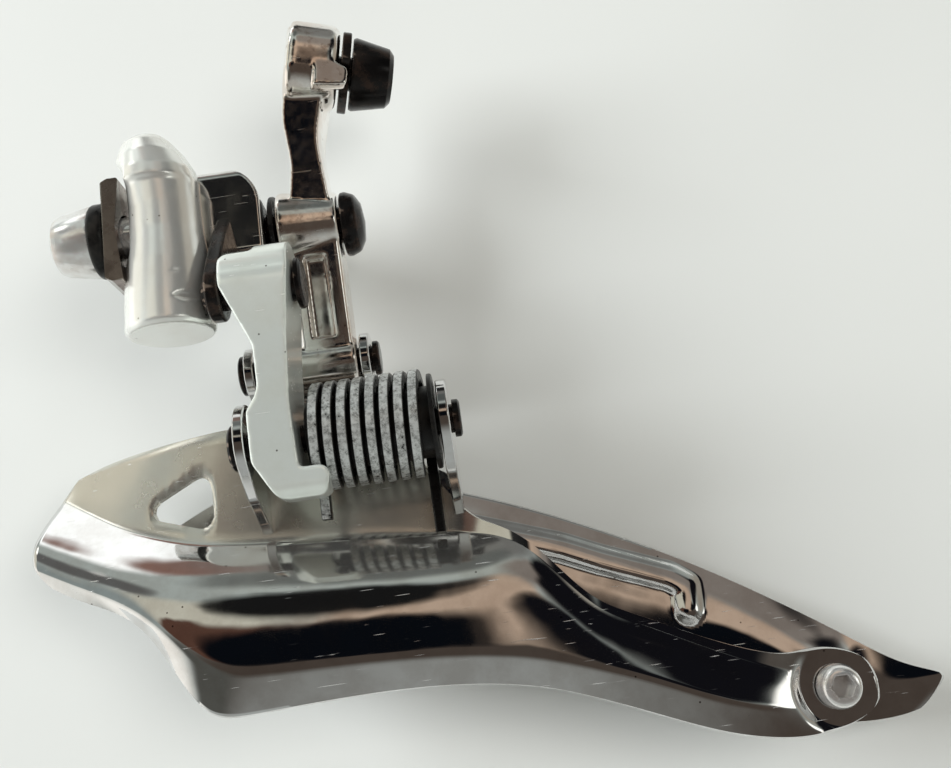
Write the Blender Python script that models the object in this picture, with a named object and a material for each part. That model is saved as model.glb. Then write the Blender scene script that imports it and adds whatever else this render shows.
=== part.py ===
"""Braze-on front bicycle derailleur: mounting body, two parallel links, sprung cage.

+X points to the rear of the bicycle along the pivot pins, +Y to the drive side,
+Z up along the seat tube.  The origin lies on the mounting pad, on the bolt axis.
Every length below is in millimetres and is turned into metres when a mesh is made.
"""
import math

import bmesh
import bpy
from mathutils import Matrix, Vector

MM = 0.001
GAP = 0.3                      # clearance between neighbouring pieces
SHEET = 1.2                    # thickness of the cage steel
ROUND_STEPS = 24               # sides of a small round piece

# Pivot axes, all parallel to X, as (y, z).  They form an exact parallelogram.
LINK = Vector((2.3, -17.4))
INNER_UPPER = Vector((-3.6, -10.3))
OUTER_UPPER = Vector((9.9, 1.7))
INNER_LOWER = INNER_UPPER + LINK
OUTER_LOWER = OUTER_UPPER + LINK
BOLT_AXIS = Vector((0.0, 0.0))

# Mounting body
# Sections of the column from bottom to top, as (z, centre x, radius)
COLUMN = ((-13.1, 3.35, 4.8), (-12.6, 3.35, 5.2), (-9.0, 3.4, 5.1), (-5.0, 3.5, 4.85), (-1.0, 3.5, 4.45),
          (2.0, 3.5, 4.35), (4.7, 3.3, 4.5), (5.3, 2.95, 4.9), (6.8, 2.8, 4.75), (9.0, 2.35, 4.05),
          (10.9, 1.95, 3.0), (11.8, 2.1, 1.9), (12.2, 2.3, 0.8))
PAD_X = 0.0
PAD_TOP = 6.7
PAD_BOTTOM = -3.6
BLOCK_FRONT = 2.6
BOLT_END = 6.1
BLOCK_REAR = 14.3
LIMIT_SCREWS_X = (7.0, 10.9)
LUG_FRONT = 8.0
LUG_REAR = 10.6

# Links
OUTER_BARREL = (15.5, 23.1)
OUTER_FOOT = (11.1, 23.3)
ANCHOR = Vector((22.4, 5.0, 21.1))
ANCHOR_TILT = math.radians(10.0)
ANCHOR_TURN = math.radians(12.0)
HEAD_FRONT = -3.7              # ends of the arm's head along its own axis, from the anchor
HEAD_REAR = 3.0
INNER_BARREL = (10.9, 18.6)

# Cage ears, each as (front x, rear x)
INNER_EARS = ((10.5, 11.7), (32.75, 33.95))
OUTER_EARS = ((9.2, 10.4), (23.6, 24.8))
WALL_Y = 6.8                   # middle of the inner plate's wall
TOWER_Y = 17.2                 # middle of the outer plate's raised part
DECK_Z = -23.4
FLANGE_Y = WALL_Y + SHEET + GAP
RIVETS_X = (15.4, 20.6)
RIVET_Z = -29.0
TAIL = Vector((71.8, -61.9))   # tail screw, as (x, z)
TAIL_INNER_Y = 6.0
TAIL_OUTER_Y = 17.0

# Return spring
SPRING_START = 18.5
SPRING_TURNS = 7.75
SPRING_PITCH = 1.54
SPRING_RADIUS = 5.35           # centre of the wire
WIRE_WIDTH = 1.15
WIRE_DEPTH = 1.3
STEPS_PER_TURN = 20

FINISHES = {
    "polished_alloy": ((0.80, 0.81, 0.80), 1.0, 0.16),
    "pale_alloy": ((0.84, 0.87, 0.86), 0.9, 0.24),
    "chromed_steel": ((0.62, 0.61, 0.60), 1.0, 0.07),
    "bolt_steel": ((0.55, 0.54, 0.53), 1.0, 0.26),
    "spring_steel": ((0.42, 0.42, 0.41), 1.0, 0.42),
    "black_oxide": ((0.035, 0.03, 0.03), 0.7, 0.35),
    "black_polymer": ((0.02, 0.02, 0.02), 0.0, 0.5),
}


# ---------------------------------------------------------------- basic tools

def clear_scene():
    for obj in list(bpy.data.objects):
        bpy.data.objects.remove(obj, do_unlink=True)


def finish_material(name):
    """Return the Principled material of one finish, making it once."""
    found = bpy.data.materials.get(name)
    if found:
        return found
    colour, metallic, roughness = FINISHES[name]
    made = bpy.data.materials.new(name)
    made.use_nodes = True
    shader = made.node_tree.nodes["Principled BSDF"]
    shader.inputs["Base Color"].default_value = (*colour, 1.0)
    shader.inputs["Metallic"].default_value = metallic
    shader.inputs["Roughness"].default_value = roughness
    return made


def pivot(name, x, axis, parent=None):
    """Make an empty on a joint axis, so that a moving body turns about it."""
    empty = bpy.data.objects.new(name, None)
    empty.empty_display_size = 0.01
    bpy.context.collection.objects.link(empty)
    place = Vector((x, axis.x, axis.y)) * MM
    if parent:
        empty.parent = parent
        place -= world_of(parent)
    empty.location = place
    return empty


def world_of(obj):
    """World position of an unrotated object under unrotated parents."""
    total = obj.location.copy()
    while obj.parent:
        obj = obj.parent
        total += obj.location
    return total


def piece(name, bm, finish, parent=None):
    """Turn a bmesh in millimetres into a named, smooth-shaded object."""
    bmesh.ops.recalc_face_normals(bm, faces=bm.faces)
    bmesh.ops.scale(bm, vec=(MM, MM, MM), verts=bm.verts)
    origin = world_of(parent) if parent else Vector()
    bmesh.ops.translate(bm, vec=-origin, verts=bm.verts)
    mesh = bpy.data.meshes.new(name)
    bm.to_mesh(mesh)
    bm.free()
    mesh.shade_smooth()
    mesh.set_sharp_from_angle(angle=math.radians(35))
    obj = bpy.data.objects.new(name, mesh)
    bpy.context.collection.objects.link(obj)
    obj.parent = parent
    mesh.materials.append(finish_material(finish))
    return obj


def helper(name, bm):
    """An operand of a Boolean: kept in the scene, left out of the object."""
    obj = piece(name, bm, "black_polymer")
    obj.hide_render = True
    obj.display_type = "WIRE"
    return obj


def combine(obj, tools, operation):
    for tool in tools:
        step = obj.modifiers.new(operation.lower(), "BOOLEAN")
        step.operation = operation
        step.object = tool
        step.solver = "EXACT"


def bevel(obj, width, segments=2, angle=40):
    step = obj.modifiers.new("bevel", "BEVEL")
    step.width = width * MM
    step.segments = segments
    step.limit_method = "ANGLE"
    step.angle_limit = math.radians(angle)


# ------------------------------------------------------------ 2-D outlines

def arc(centre, radius, start, end, steps):
    """Points of an arc; angles in degrees."""
    points = []
    for step in range(steps + 1):
        angle = math.radians(start + (end - start) * step / steps)
        points.append((centre[0] + radius * math.cos(angle), centre[1] + radius * math.sin(angle)))
    return points


def hull(circles, steps=24):
    """Convex outline around circles given as (u, v, radius)."""
    cloud = set()
    for u, v, radius in circles:
        for point in arc((u, v), radius, 0, 360 - 360 / steps, steps - 1):
            cloud.add((round(point[0], 4), round(point[1], 4)))
    cloud = sorted(cloud)

    def chain(points):
        side = []
        for p in points:
            while len(side) > 1 and turn(side[-2], side[-1], p) <= 0.001:
                side.pop()
            side.append(p)
        return side[:-1]
    return chain(cloud) + chain(reversed(cloud))


def turn(a, b, c):
    return (b[0] - a[0]) * (c[1] - a[1]) - (b[1] - a[1]) * (c[0] - a[0])


def rounded(corners, steps=4):
    """Closed outline of (u, v, radius) corners, each rounded by its radius."""
    outline = []
    count = len(corners)
    for index, (u, v, radius) in enumerate(corners):
        here = Vector((u, v))
        before = (Vector(corners[index - 1][:2]) - here).normalized()
        after = (Vector(corners[(index + 1) % count][:2]) - here).normalized()
        if radius == 0:
            outline.append(tuple(here))
            continue
        half = before.angle(after) / 2
        reach = radius / math.tan(half)
        centre = here + (before + after).normalized() * (radius / math.sin(half))
        first = here + before * reach - centre
        last = here + after * reach - centre
        sweep = last.angle(first)
        side = 1 if first.x * last.y > first.y * last.x else -1
        for step in range(steps + 1):
            spoke = first.copy()
            spoke.rotate(Matrix.Rotation(side * sweep * step / steps, 2))
            outline.append(tuple(centre + spoke))
    return outline


# ------------------------------------------------------------ 3-D builders

def prism(outline, plane, low, high, bm=None):
    """Extrude an outline: plane "YZ" along X, "XZ" along Y, "XY" along Z."""
    bm = bm or bmesh.new()
    order = {"YZ": lambda u, v, w: (w, u, v),
             "XZ": lambda u, v, w: (u, w, v),
             "XY": lambda u, v, w: (u, v, w)}
    spot = order[plane]
    rings = []
    for level in (low, high):
        rings.append([bm.verts.new(spot(u, v, level)) for u, v in outline])
    bm.faces.new(rings[0])
    bm.faces.new(reversed(rings[1]))
    bridge(bm, rings[0], rings[1])
    return bm


def bridge(bm, ring, other):
    """Join two closed rings of equal length with quads."""
    count = len(ring)
    for index in range(count):
        after = (index + 1) % count
        bm.faces.new((ring[index], ring[after], other[after], other[index]))


def lathe(profile, centre, axis="X", steps=ROUND_STEPS, hollow=False, bm=None):
    """Turn (along, radius) points about an axis; hollow closes the profile on itself."""
    bm = bm or bmesh.new()
    rings = []
    for along, radius in profile:
        count = steps if radius > 0 else 1
        ring = []
        for index in range(count):
            angle = 2 * math.pi * index / steps
            u = centre[0] + radius * math.cos(angle)
            v = centre[1] + radius * math.sin(angle)
            place = {"X": (along, u, v), "Y": (u, along, v), "Z": (u, v, along)}[axis]
            ring.append(bm.verts.new(place))
        rings.append(ring)
    pairs = list(zip(rings, rings[1:]))
    if hollow:
        pairs.append((rings[-1], rings[0]))
    for ring, other in pairs:
        if len(ring) == 1 or len(other) == 1:
            fan(bm, ring, other)
        else:
            bridge(bm, ring, other)
    return bm


def fan(bm, ring, other):
    """Close a ring onto a single point on the axis."""
    tip, rim = (ring[0], other) if len(ring) == 1 else (other[0], ring)
    for index, vert in enumerate(rim):
        bm.faces.new((tip, vert, rim[(index + 1) % len(rim)]))


def tube(axis, inner, outer, low, high, chamfer=0.3, direction="X"):
    """A plain ring with chamfered outer edges."""
    profile = [(low, inner), (low, outer - chamfer), (low + chamfer, outer),
               (high - chamfer, outer), (high, outer - chamfer), (high, inner)]
    return lathe(profile, axis, direction, hollow=True)


def bore(name, axis, radius, low, high, direction="X"):
    return helper(name, lathe([(low, 0), (low, radius), (high, radius), (high, 0)], axis, direction))


def bent_sheet(path, low, high, thickness=SHEET):
    """A sheet that follows a path of (y, z) points, as wide as low..high along X."""
    left = []
    right = []
    for index, point in enumerate(path):
        here = Vector(point)
        before = Vector(path[max(index - 1, 0)])
        after = Vector(path[min(index + 1, len(path) - 1)])
        into = (here - before).normalized() if index else (after - here).normalized()
        out = (after - here).normalized() if index < len(path) - 1 else into
        across = (into + out).normalized().orthogonal()
        width = thickness / 2 / max(0.5, across.dot(out.orthogonal()))
        left.append(tuple(here + across * width))
        right.append(tuple(here - across * width))
    return prism(left + right[::-1], "YZ", low, high)


def net_sheet(name, rails, levels, finish, parent, creases=()):
    """A pressed sheet: rails of (x, y, z) control points, smoothed and thickened."""
    bm = bmesh.new()
    rows = [[bm.verts.new(point) for point in rail] for rail in rails]
    for row, below in zip(rows, rows[1:]):
        for index in range(len(row) - 1):
            bm.faces.new((row[index], row[index + 1], below[index + 1], below[index]))
    weight = bm.edges.layers.float.new("crease_edge")
    for rail_index, sharpness in creases:
        row = rows[rail_index]
        for start, end in zip(row, row[1:]):
            bm.edges.get((start, end))[weight] = sharpness
    obj = piece(name, bm, finish, parent)
    smooth = obj.modifiers.new("smooth", "SUBSURF")
    smooth.levels = levels
    smooth.render_levels = levels
    thick = obj.modifiers.new("thickness", "SOLIDIFY")
    thick.thickness = SHEET * MM
    thick.offset = 0.0
    thick.use_even_offset = True
    return obj


# ------------------------------------------------------------ mounting body

def column_shape(steps):
    """Leaning, waisted column with a domed top and a flat foot."""
    bm = bmesh.new()
    rings = []
    for z, centre_x, radius in COLUMN:
        circle = arc((centre_x, 0), radius, 0, 360 - 360 / steps, steps - 1)
        rings.append([bm.verts.new((*point, z)) for point in circle])
    for ring, other in zip(rings, rings[1:]):
        bridge(bm, ring, other)
    bm.faces.new(rings[0])
    bm.faces.new(rings[-1])
    return bm


def mounting_body():
    """Forged body: waisted column, rear block for the outer pivot, lug for the inner pivot."""
    body = piece("mounting_body", column_shape(32), "polished_alloy")

    block_side = hull([(BLOCK_FRONT + 1.3, -2.4, 1.3), (BLOCK_FRONT + 1.3, 6.9, 1.3), (9.9, 1.7, 6.3),
                       (11.2, 4.2, 4.6)])
    block_front = rounded([(2.5, -9, 0), (BLOCK_REAR, -9, 0), (BLOCK_REAR, 8.4, 5.2), (2.5, 8.7, 0)])
    block = helper("body_block", prism(block_side, "YZ", 2.5, BLOCK_REAR))
    combine(block, [helper("body_block_front", prism(block_front, "XZ", 0, 20))], "INTERSECT")
    bevel(block, 0.5)

    lug_side = hull([(*INNER_UPPER, 4.7), (1.0, -4.0, 4.4), (6.0, 0.0, 3.4)])
    lug = helper("body_lug", prism(lug_side, "YZ", LUG_FRONT, LUG_REAR))
    bevel(lug, 0.4)
    root_side = hull([(-1.6, -9.8, 2.6), (0.0, -3.0, 3.0)])
    lug_root = helper("body_lug_root", prism(root_side, "YZ", 4.0, LUG_FRONT + 0.5))
    combine(body, [block, lug, lug_root], "UNION")

    pad_side = [(-4, PAD_BOTTOM - 6), (PAD_X, PAD_BOTTOM), (PAD_X, PAD_TOP), (-4, PAD_TOP + 5)]
    pad = helper("pad_cut", prism(pad_side, "XZ", -8, 8))
    mount_hole = bore("mount_hole", BOLT_AXIS, 2.5 + GAP, -1, BOLT_END + GAP)
    outer_hole = bore("outer_pivot_hole", OUTER_UPPER, 2.3 + GAP, 5.2, 20)
    inner_hole = bore("inner_pivot_hole", INNER_UPPER, 2.0 + GAP, LUG_FRONT - 1, 12)
    screws = [bore(f"limit_hole_{x:.0f}", (x, 6.9), 1.2 + GAP, 11.0, 20, "Y") for x in LIMIT_SCREWS_X]
    combine(body, [pad, mount_hole, outer_hole, inner_hole, *screws], "DIFFERENCE")
    return body


def limit_screw(name, x):
    """Small slotted stop screw in the drive-side face of the body."""
    head = lathe([(11.3, 0), (11.3, 1.2), (16.3, 1.2), (16.3, 1.7), (17.4, 1.7), (17.7, 1.4), (17.7, 0)],
                 (x, 6.9), "Y", 20)
    screw = piece(name, head, "bolt_steel")
    slot = prism([(x - 3, 6.6), (x + 3, 6.6), (x + 3, 7.2), (x - 3, 7.2)], "XZ", 17.1, 19)
    combine(screw, [helper(f"{name}_slot", slot)], "DIFFERENCE")


def mounting_hardware():
    washer_side = rounded([(-3.5, -6.4, 0.3), (-2.8, -6.7, 0.3), (-2.1, -6.7, 0.2), (-2.4, 0, 9.0),
                           (-2.1, 6.1, 0.2), (-2.8, 6.1, 0.3), (-3.5, 5.8, 0.3)])
    washer = piece("saddle_washer", prism(washer_side, "XZ", -3.9, 3.9), "bolt_steel")
    bevel(washer, 0.25)
    combine(washer, [bore("washer_hole", BOLT_AXIS, 2.5 + GAP, -8, 2)], "DIFFERENCE")
    profile = [(-9.3, 0), (-9.3, 2.6), (-8.9, 3.3), (-4.4, 4.5), (-4.4, 3.6), (-3.8, 3.6), (-3.8, 2.5),
               (BOLT_END - 0.4, 2.5), (BOLT_END, 2.1), (BOLT_END, 0)]
    bolt = piece("mount_bolt", lathe(profile, BOLT_AXIS), "bolt_steel")
    combine(bolt, [hex_socket("mount_socket", BOLT_AXIS, 1.9, -12, -6.6)], "DIFFERENCE")


def hex_socket(name, axis, radius, low, high, direction="X"):
    profile = [(low, 0), (low, radius), (high, radius), (high, 0)]
    return helper(name, lathe(profile, axis, direction, steps=6))


def pivot_hardware():
    """Outer pivot bolt with its washer, and the inner pivot pin, all fixed in the body."""
    bolt = [(5.5, 0), (5.5, 1.8), (6.0, 2.3), (23.4, 2.3), (23.4, 4.0), (24.1, 4.05), (25.2, 3.6),
            (25.9, 2.4), (26.2, 0)]
    piece("outer_pivot_bolt", lathe(bolt, OUTER_UPPER), "black_oxide")
    piece("thrust_washer", tube(OUTER_UPPER, 2.3 + GAP, 4.7, 14.6, 15.2, 0.1), "black_polymer")
    pin = [(8.3, 0), (8.3, 1.6), (8.7, 2.0), (18.9, 2.0), (18.9, 2.9), (19.4, 2.9), (19.7, 2.5), (19.7, 0)]
    piece("inner_pivot_pin", lathe(pin, INNER_UPPER), "black_oxide")


# ------------------------------------------------------------ links

def tilt_anchor(bm):
    """Lean a shape drawn about the anchor so that it follows the cable's pull."""
    lean = Matrix.Rotation(ANCHOR_TURN, 3, "Z") @ Matrix.Rotation(ANCHOR_TILT, 3, "Y")
    bmesh.ops.rotate(bm, cent=ANCHOR, matrix=lean, verts=bm.verts)
    return bm


def outer_link(parent):
    """Outer link: pivot barrel, cable arm and head above, web and lower barrel below."""
    barrel = [(OUTER_BARREL[0], 0), (OUTER_BARREL[0], 4.7), (OUTER_BARREL[0] + 0.4, 5.0), (19.5, 4.6),
              (OUTER_BARREL[1] - 0.3, 4.2), (OUTER_BARREL[1], 3.9), (OUTER_BARREL[1], 0)]
    link = piece("outer_link", lathe(barrel, OUTER_UPPER), "polished_alloy", parent)

    foot = [(OUTER_FOOT[0], 0), (OUTER_FOOT[0], 2.9), (OUTER_FOOT[0] + 0.3, 3.15),
            (OUTER_FOOT[1] - 0.4, 3.15), (OUTER_FOOT[1], 2.8), (OUTER_FOOT[1], 0)]
    lower = helper("link_foot", lathe(foot, OUTER_LOWER))

    web = helper("link_web", prism(hull([(*OUTER_UPPER, 3.6), (*OUTER_LOWER, 2.6)]), "YZ", 16.6, 23.0))
    bevel(web, 0.5)
    panel = helper("web_panel", prism([(2, -3.0), (8.0, -3.0), (9.9, -13.0), (2, -13.0)], "YZ", 18.3, 20.9))

    arm_front = rounded([(17.3, -2, 0), (23.0, -2, 0), (22.4, 4.5, 3), (21.9, 11.5, 12), (23.6, 17.5, 3),
                         (23.6, 20.5, 0), (19.2, 20.5, 0), (17.8, 14.5, 12), (18.2, 8.5, 10), (17.3, 3.5, 3)])
    arm_side = hull([(*OUTER_UPPER, 3.4), (ANCHOR.y, ANCHOR.z, 2.9)])
    arm = helper("link_arm", prism(arm_front, "XZ", -2, 20))
    combine(arm, [helper("link_arm_side", prism(arm_side, "YZ", 14, 30))], "INTERSECT")
    bevel(arm, 0.7)

    head_outline = hull([(ANCHOR.y, ANCHOR.z + 1.2, 4.7), (ANCHOR.y, ANCHOR.z - 0.8, 4.4)])
    head_shape = prism(head_outline, "YZ", ANCHOR.x + HEAD_FRONT, ANCHOR.x + HEAD_REAR)
    head = helper("link_head", tilt_anchor(head_shape))
    bevel(head, 0.8)
    nub_outline = rounded([(ANCHOR.x, ANCHOR.z - 4.6, 0.3), (ANCHOR.x + 4.2, ANCHOR.z - 4.0, 0.7),
                           (ANCHOR.x + 4.2, ANCHOR.z - 1.6, 0.7), (ANCHOR.x, ANCHOR.z, 0.3)])
    nub = helper("link_nub", tilt_anchor(prism(nub_outline, "XZ", ANCHOR.y - 4.4, ANCHOR.y - 2.9)))
    combine(link, [lower, web, arm, head, nub], "UNION")

    notch_outline = [(ANCHOR.x - 4, ANCHOR.z + 3.4), (ANCHOR.x - 2.7, ANCHOR.z + 4.2),
                     (ANCHOR.x - 4, ANCHOR.z + 6.0)]
    notch = helper("link_notch", tilt_anchor(prism(notch_outline, "XZ", -4, 14)))
    hole_profile = [(ANCHOR.x - 6, 0), (ANCHOR.x - 6, 2.1 + GAP), (ANCHOR.x + 6, 2.1 + GAP),
                    (ANCHOR.x + 6, 0)]
    cable_hole = helper("cable_hole", tilt_anchor(lathe(hole_profile, (ANCHOR.y, ANCHOR.z))))
    upper_hole = bore("outer_link_upper_hole", OUTER_UPPER, 2.3 + GAP, 10, 30)
    lower_hole = bore("outer_link_lower_hole", OUTER_LOWER, 1.6 + GAP, 5, 30)
    combine(link, [panel, notch, cable_hole, upper_hole, lower_hole], "DIFFERENCE")


def cable_clamp(parent):
    """Washer and bolt that clamp the shift cable to the arm's head."""
    face = ANCHOR.x + HEAD_REAR
    axis = (ANCHOR.y, ANCHOR.z)
    washer_outline = rounded([(ANCHOR.y - 2.6, ANCHOR.z - 4.2, 1.5), (ANCHOR.y + 4.4, ANCHOR.z - 4.2, 2.2),
                              (ANCHOR.y + 4.4, ANCHOR.z + 4.2, 2.2), (ANCHOR.y - 4.4, ANCHOR.z + 4.2, 2.2),
                              (ANCHOR.y - 4.4, ANCHOR.z - 1.0, 1.0), (ANCHOR.y - 2.6, ANCHOR.z - 1.0, 0)])
    washer_shape = tilt_anchor(prism(washer_outline, "YZ", face + GAP, face + 1.4))
    washer = piece("cable_washer", washer_shape, "black_oxide", parent)
    hole = lathe([(face - 2, 0), (face - 2, 2.1 + GAP), (face + 4, 2.1 + GAP), (face + 4, 0)], axis)
    combine(washer, [helper("cable_washer_hole", tilt_anchor(hole))], "DIFFERENCE")
    seat = face + 1.4 + GAP
    profile = [(ANCHOR.x - 3.0, 0), (ANCHOR.x - 3.0, 1.8), (ANCHOR.x - 2.7, 2.1), (seat, 2.1), (seat, 4.4),
               (seat + 0.4, 4.55), (seat + 4.6, 3.7), (seat + 5.2, 3.0), (seat + 5.2, 0)]
    bolt = piece("cable_bolt", tilt_anchor(lathe(profile, axis)), "black_oxide", parent)
    socket = lathe([(seat + 2.6, 0), (seat + 2.6, 2.2), (seat + 8, 2.2), (seat + 8, 0)], axis, steps=6)
    combine(bolt, [helper("cable_socket", tilt_anchor(socket))], "DIFFERENCE")


def inner_link(parent):
    """Inner link: an L seen from the side, with a foot that holds the spring's leg."""
    front = rounded([(INNER_BARREL[0], -7.0, 1.2), (INNER_BARREL[0], -11.0, 3.0), (14.0, -18.0, 4.0),
                     (14.0, -23.0, 3.0), (12.5, -25.2, 1.5), (12.5, -30.6, 2.5), (15.0, -34.9, 2.0),
                     (20.2, -34.9, 1.1), (21.0, -31.7, 1.1), (17.6, -31.7, 0.5), (17.3, -24.5, 4.0),
                     (17.7, -17.5, 4.0), (INNER_BARREL[1], -9.5, 3.0), (INNER_BARREL[1], -4.0, 1.4),
                     (14.9, -4.0, 0.6), (14.6, -7.0, 0.6)])
    link = piece("inner_link", prism(front, "XZ", -12, 8), "pale_alloy", parent)
    side = hull([(*INNER_UPPER, 4.8), (INNER_LOWER.x, INNER_LOWER.y, 4.3), (-4.4, -33.0, 2.2)])
    combine(link, [helper("inner_link_side", prism(side, "YZ", 5, 30))], "INTERSECT")
    bevel(link, 0.5)
    upper_hole = bore("inner_link_upper_hole", INNER_UPPER, 2.0 + GAP, 5, 30)
    lower_hole = bore("inner_link_lower_hole", INNER_LOWER, 1.6 + GAP, 5, 30)
    coil_room = bore("coil_room", INNER_LOWER, SPRING_RADIUS + WIRE_DEPTH / 2 + GAP, 17.9, 30)
    combine(link, [upper_hole, lower_hole, coil_room], "DIFFERENCE")


# ------------------------------------------------------------ cage

# Control rails of the inner plate, each from nose to tail.
INNER_TOP = [(-13.4, 14.0, -25.6), (-8.8, 12.0, -24.6), (-3.2, 9.6, -24.1), (3.0, 7.6, -23.7),
             (8.5, WALL_Y, -23.4), (15.0, WALL_Y, -23.8), (23.0, WALL_Y, -25.0), (30.5, WALL_Y, -30.5),
             (34.0, WALL_Y, -37.6), (37.5, 5.6, -39.2), (40.6, 4.6, -41.4), (44.2, 4.5, -46.2),
             (47.3, 4.7, -49.6), (52.2, 5.0, -51.7), (58.4, 5.2, -55.0), (65.5, 5.4, -57.8),
             (68.6, 6.0, -57.6), (71.8, 6.0, -57.4), (75.6, 6.0, -59.0)]
INNER_CREASE = [(-15.3, 13.4, -28.4), (-10.1, 11.2, -31.4), (-5.9, 9.3, -33.8), (0.6, 7.5, -36.2),
                (6.3, WALL_Y, -37.4), (13.0, WALL_Y, -38.0), (21.5, WALL_Y, -38.6),
                (29.5, WALL_Y, -39.4), (33.8, WALL_Y, -39.8), (37.3, 5.4, -40.6), (40.6, 4.4, -42.6),
                (44.2, 4.3, -47.3), (47.3, 4.6, -50.7), (52.2, 4.9, -52.9), (58.4, 5.1, -56.2),
                (65.3, 5.3, -59.3), (68.8, 6.0, -60.0), (72.0, 6.0, -60.2), (76.2, 6.0, -60.8)]
INNER_RIDGE = [(-17.6, 9.0, -33.6), (-11.0, 7.0, -37.0), (-5.2, 4.6, -40.0), (0.2, 3.2, -41.6),
               (5.4, 2.7, -42.4), (12.0, 2.5, -42.9), (20.0, 2.5, -43.3), (28.0, 2.5, -43.7),
               (33.0, 2.6, -43.9), (37.0, 2.8, -44.2), (40.8, 3.1, -45.6), (44.5, 3.5, -49.8),
               (48.0, 3.8, -52.7), (52.8, 4.1, -55.1), (58.6, 4.5, -58.3), (65.2, 5.0, -61.4),
               (69.0, 6.0, -61.9), (72.2, 6.0, -62.0), (76.5, 6.0, -62.2)]
INNER_LOWER_CREASE = [(-17.2, 8.6, -36.4), (-10.4, 6.4, -39.8), (-4.6, 4.5, -42.8), (-0.2, 3.1, -46.4),
                      (4.8, 2.5, -51.4), (10.0, 2.4, -51.9), (17.5, 2.4, -52.0), (25.5, 2.4, -52.3),
                      (31.0, 2.5, -52.7), (36.0, 2.6, -53.3), (41.0, 2.8, -54.4), (46.0, 3.1, -56.2),
                      (51.0, 3.4, -58.0), (56.0, 3.7, -60.3), (60.8, 4.2, -62.3), (65.6, 4.9, -63.5),
                      (69.2, 6.0, -63.8), (72.2, 6.0, -63.8), (76.2, 6.0, -63.7)]
INNER_BOTTOM = [(-15.2, 8.2, -39.0), (-9.6, 6.3, -42.0), (-3.6, 5.0, -44.0), (0.2, 4.4, -50.4),
                (3.2, 4.0, -56.4), (8.0, 3.9, -56.3), (17.0, 3.8, -55.8), (25.0, 3.8, -55.7),
                (30.5, 3.8, -56.0), (35.5, 3.9, -56.6), (40.5, 4.1, -57.6), (45.5, 4.3, -59.4),
                (50.5, 4.5, -61.5), (55.5, 4.7, -63.7), (60.5, 4.9, -65.6), (66.0, 5.3, -66.7),
                (69.4, 5.9, -66.7), (72.4, 6.0, -66.2), (75.4, 6.0, -64.9)]

# Control rails of the outer plate.
OUTER_TOP = [(-14.0, 21.4, -38.0), (-8.0, 20.6, -34.6), (-2.0, 20.2, -31.4), (4.0, 20.0, -28.6),
             (10.0, 20.0, -27.4), (18.0, 20.8, -28.0), (25.0, 20.8, -29.6), (31.8, 20.8, -32.2),
             (38.2, 20.8, -34.5), (46.4, 20.8, -38.1), (55.0, 20.6, -42.4), (62.7, 20.0, -46.8),
             (68.7, 19.0, -50.9), (74.0, 18.2, -54.6), (79.0, 17.0, -58.2), (83.0, 16.4, -61.2),
             (87.4, 15.0, -62.6)]
OUTER_UPPER_MID = [(-15.0, 21.8, -38.8), (-9.0, 20.8, -36.6), (-3.0, 20.3, -35.0), (3.0, 20.0, -34.2),
                   (10.0, 20.0, -34.0), (18.0, 19.4, -34.4), (25.0, 19.4, -35.6), (31.8, 19.4, -37.4),
                   (38.2, 19.4, -39.4), (46.0, 19.4, -42.6), (54.4, 19.2, -46.8), (62.0, 18.6, -51.0),
                   (68.0, 17.4, -54.8), (73.4, 16.6, -58.2), (78.6, 17.0, -61.2), (82.8, 16.2, -62.8),
                   (86.8, 15.2, -63.4)]
OUTER_LOWER_MID = [(-15.2, 21.8, -39.8), (-9.6, 20.8, -39.4), (-4.4, 20.3, -40.4), (1.0, 20.0, -43.8),
                   (9.0, 20.0, -45.0), (18.0, 19.1, -45.4), (25.0, 19.1, -45.8), (32.0, 19.1, -46.6),
                   (38.6, 19.1, -47.8), (46.2, 19.1, -50.4), (54.2, 18.9, -54.0), (61.6, 18.3, -57.6),
                   (67.6, 17.1, -60.4), (72.8, 16.3, -62.6), (78.2, 17.0, -64.4), (82.2, 16.4, -65.0),
                   (85.6, 15.8, -64.8)]
OUTER_BOTTOM = [(-14.4, 21.6, -40.6), (-10.0, 21.0, -41.8), (-5.6, 20.6, -44.2), (-0.4, 20.6, -50.0),
                (7.0, 20.8, -53.0), (16.0, 20.8, -53.2), (24.0, 20.8, -53.4), (32.0, 20.8, -54.2),
                (39.0, 20.6, -55.4), (46.6, 20.4, -57.8), (54.4, 20.0, -61.0), (61.6, 19.4, -63.8),
                (67.6, 18.2, -65.8), (72.6, 17.4, -66.6), (77.6, 17.0, -67.2), (81.0, 16.6, -67.0),
                (84.0, 16.4, -66.2)]


def ear(name, outline, span):
    made = helper(name, prism(outline, "YZ", *span))
    bevel(made, 0.25)
    return made


def window_cutter():
    outline = hull([(-1.4, -31.9, 1.25), (3.3, -30.2, 1.5), (3.4, -33.3, 1.5)])
    return helper("plate_window", prism(outline, "XZ", 0, 16))


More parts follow.
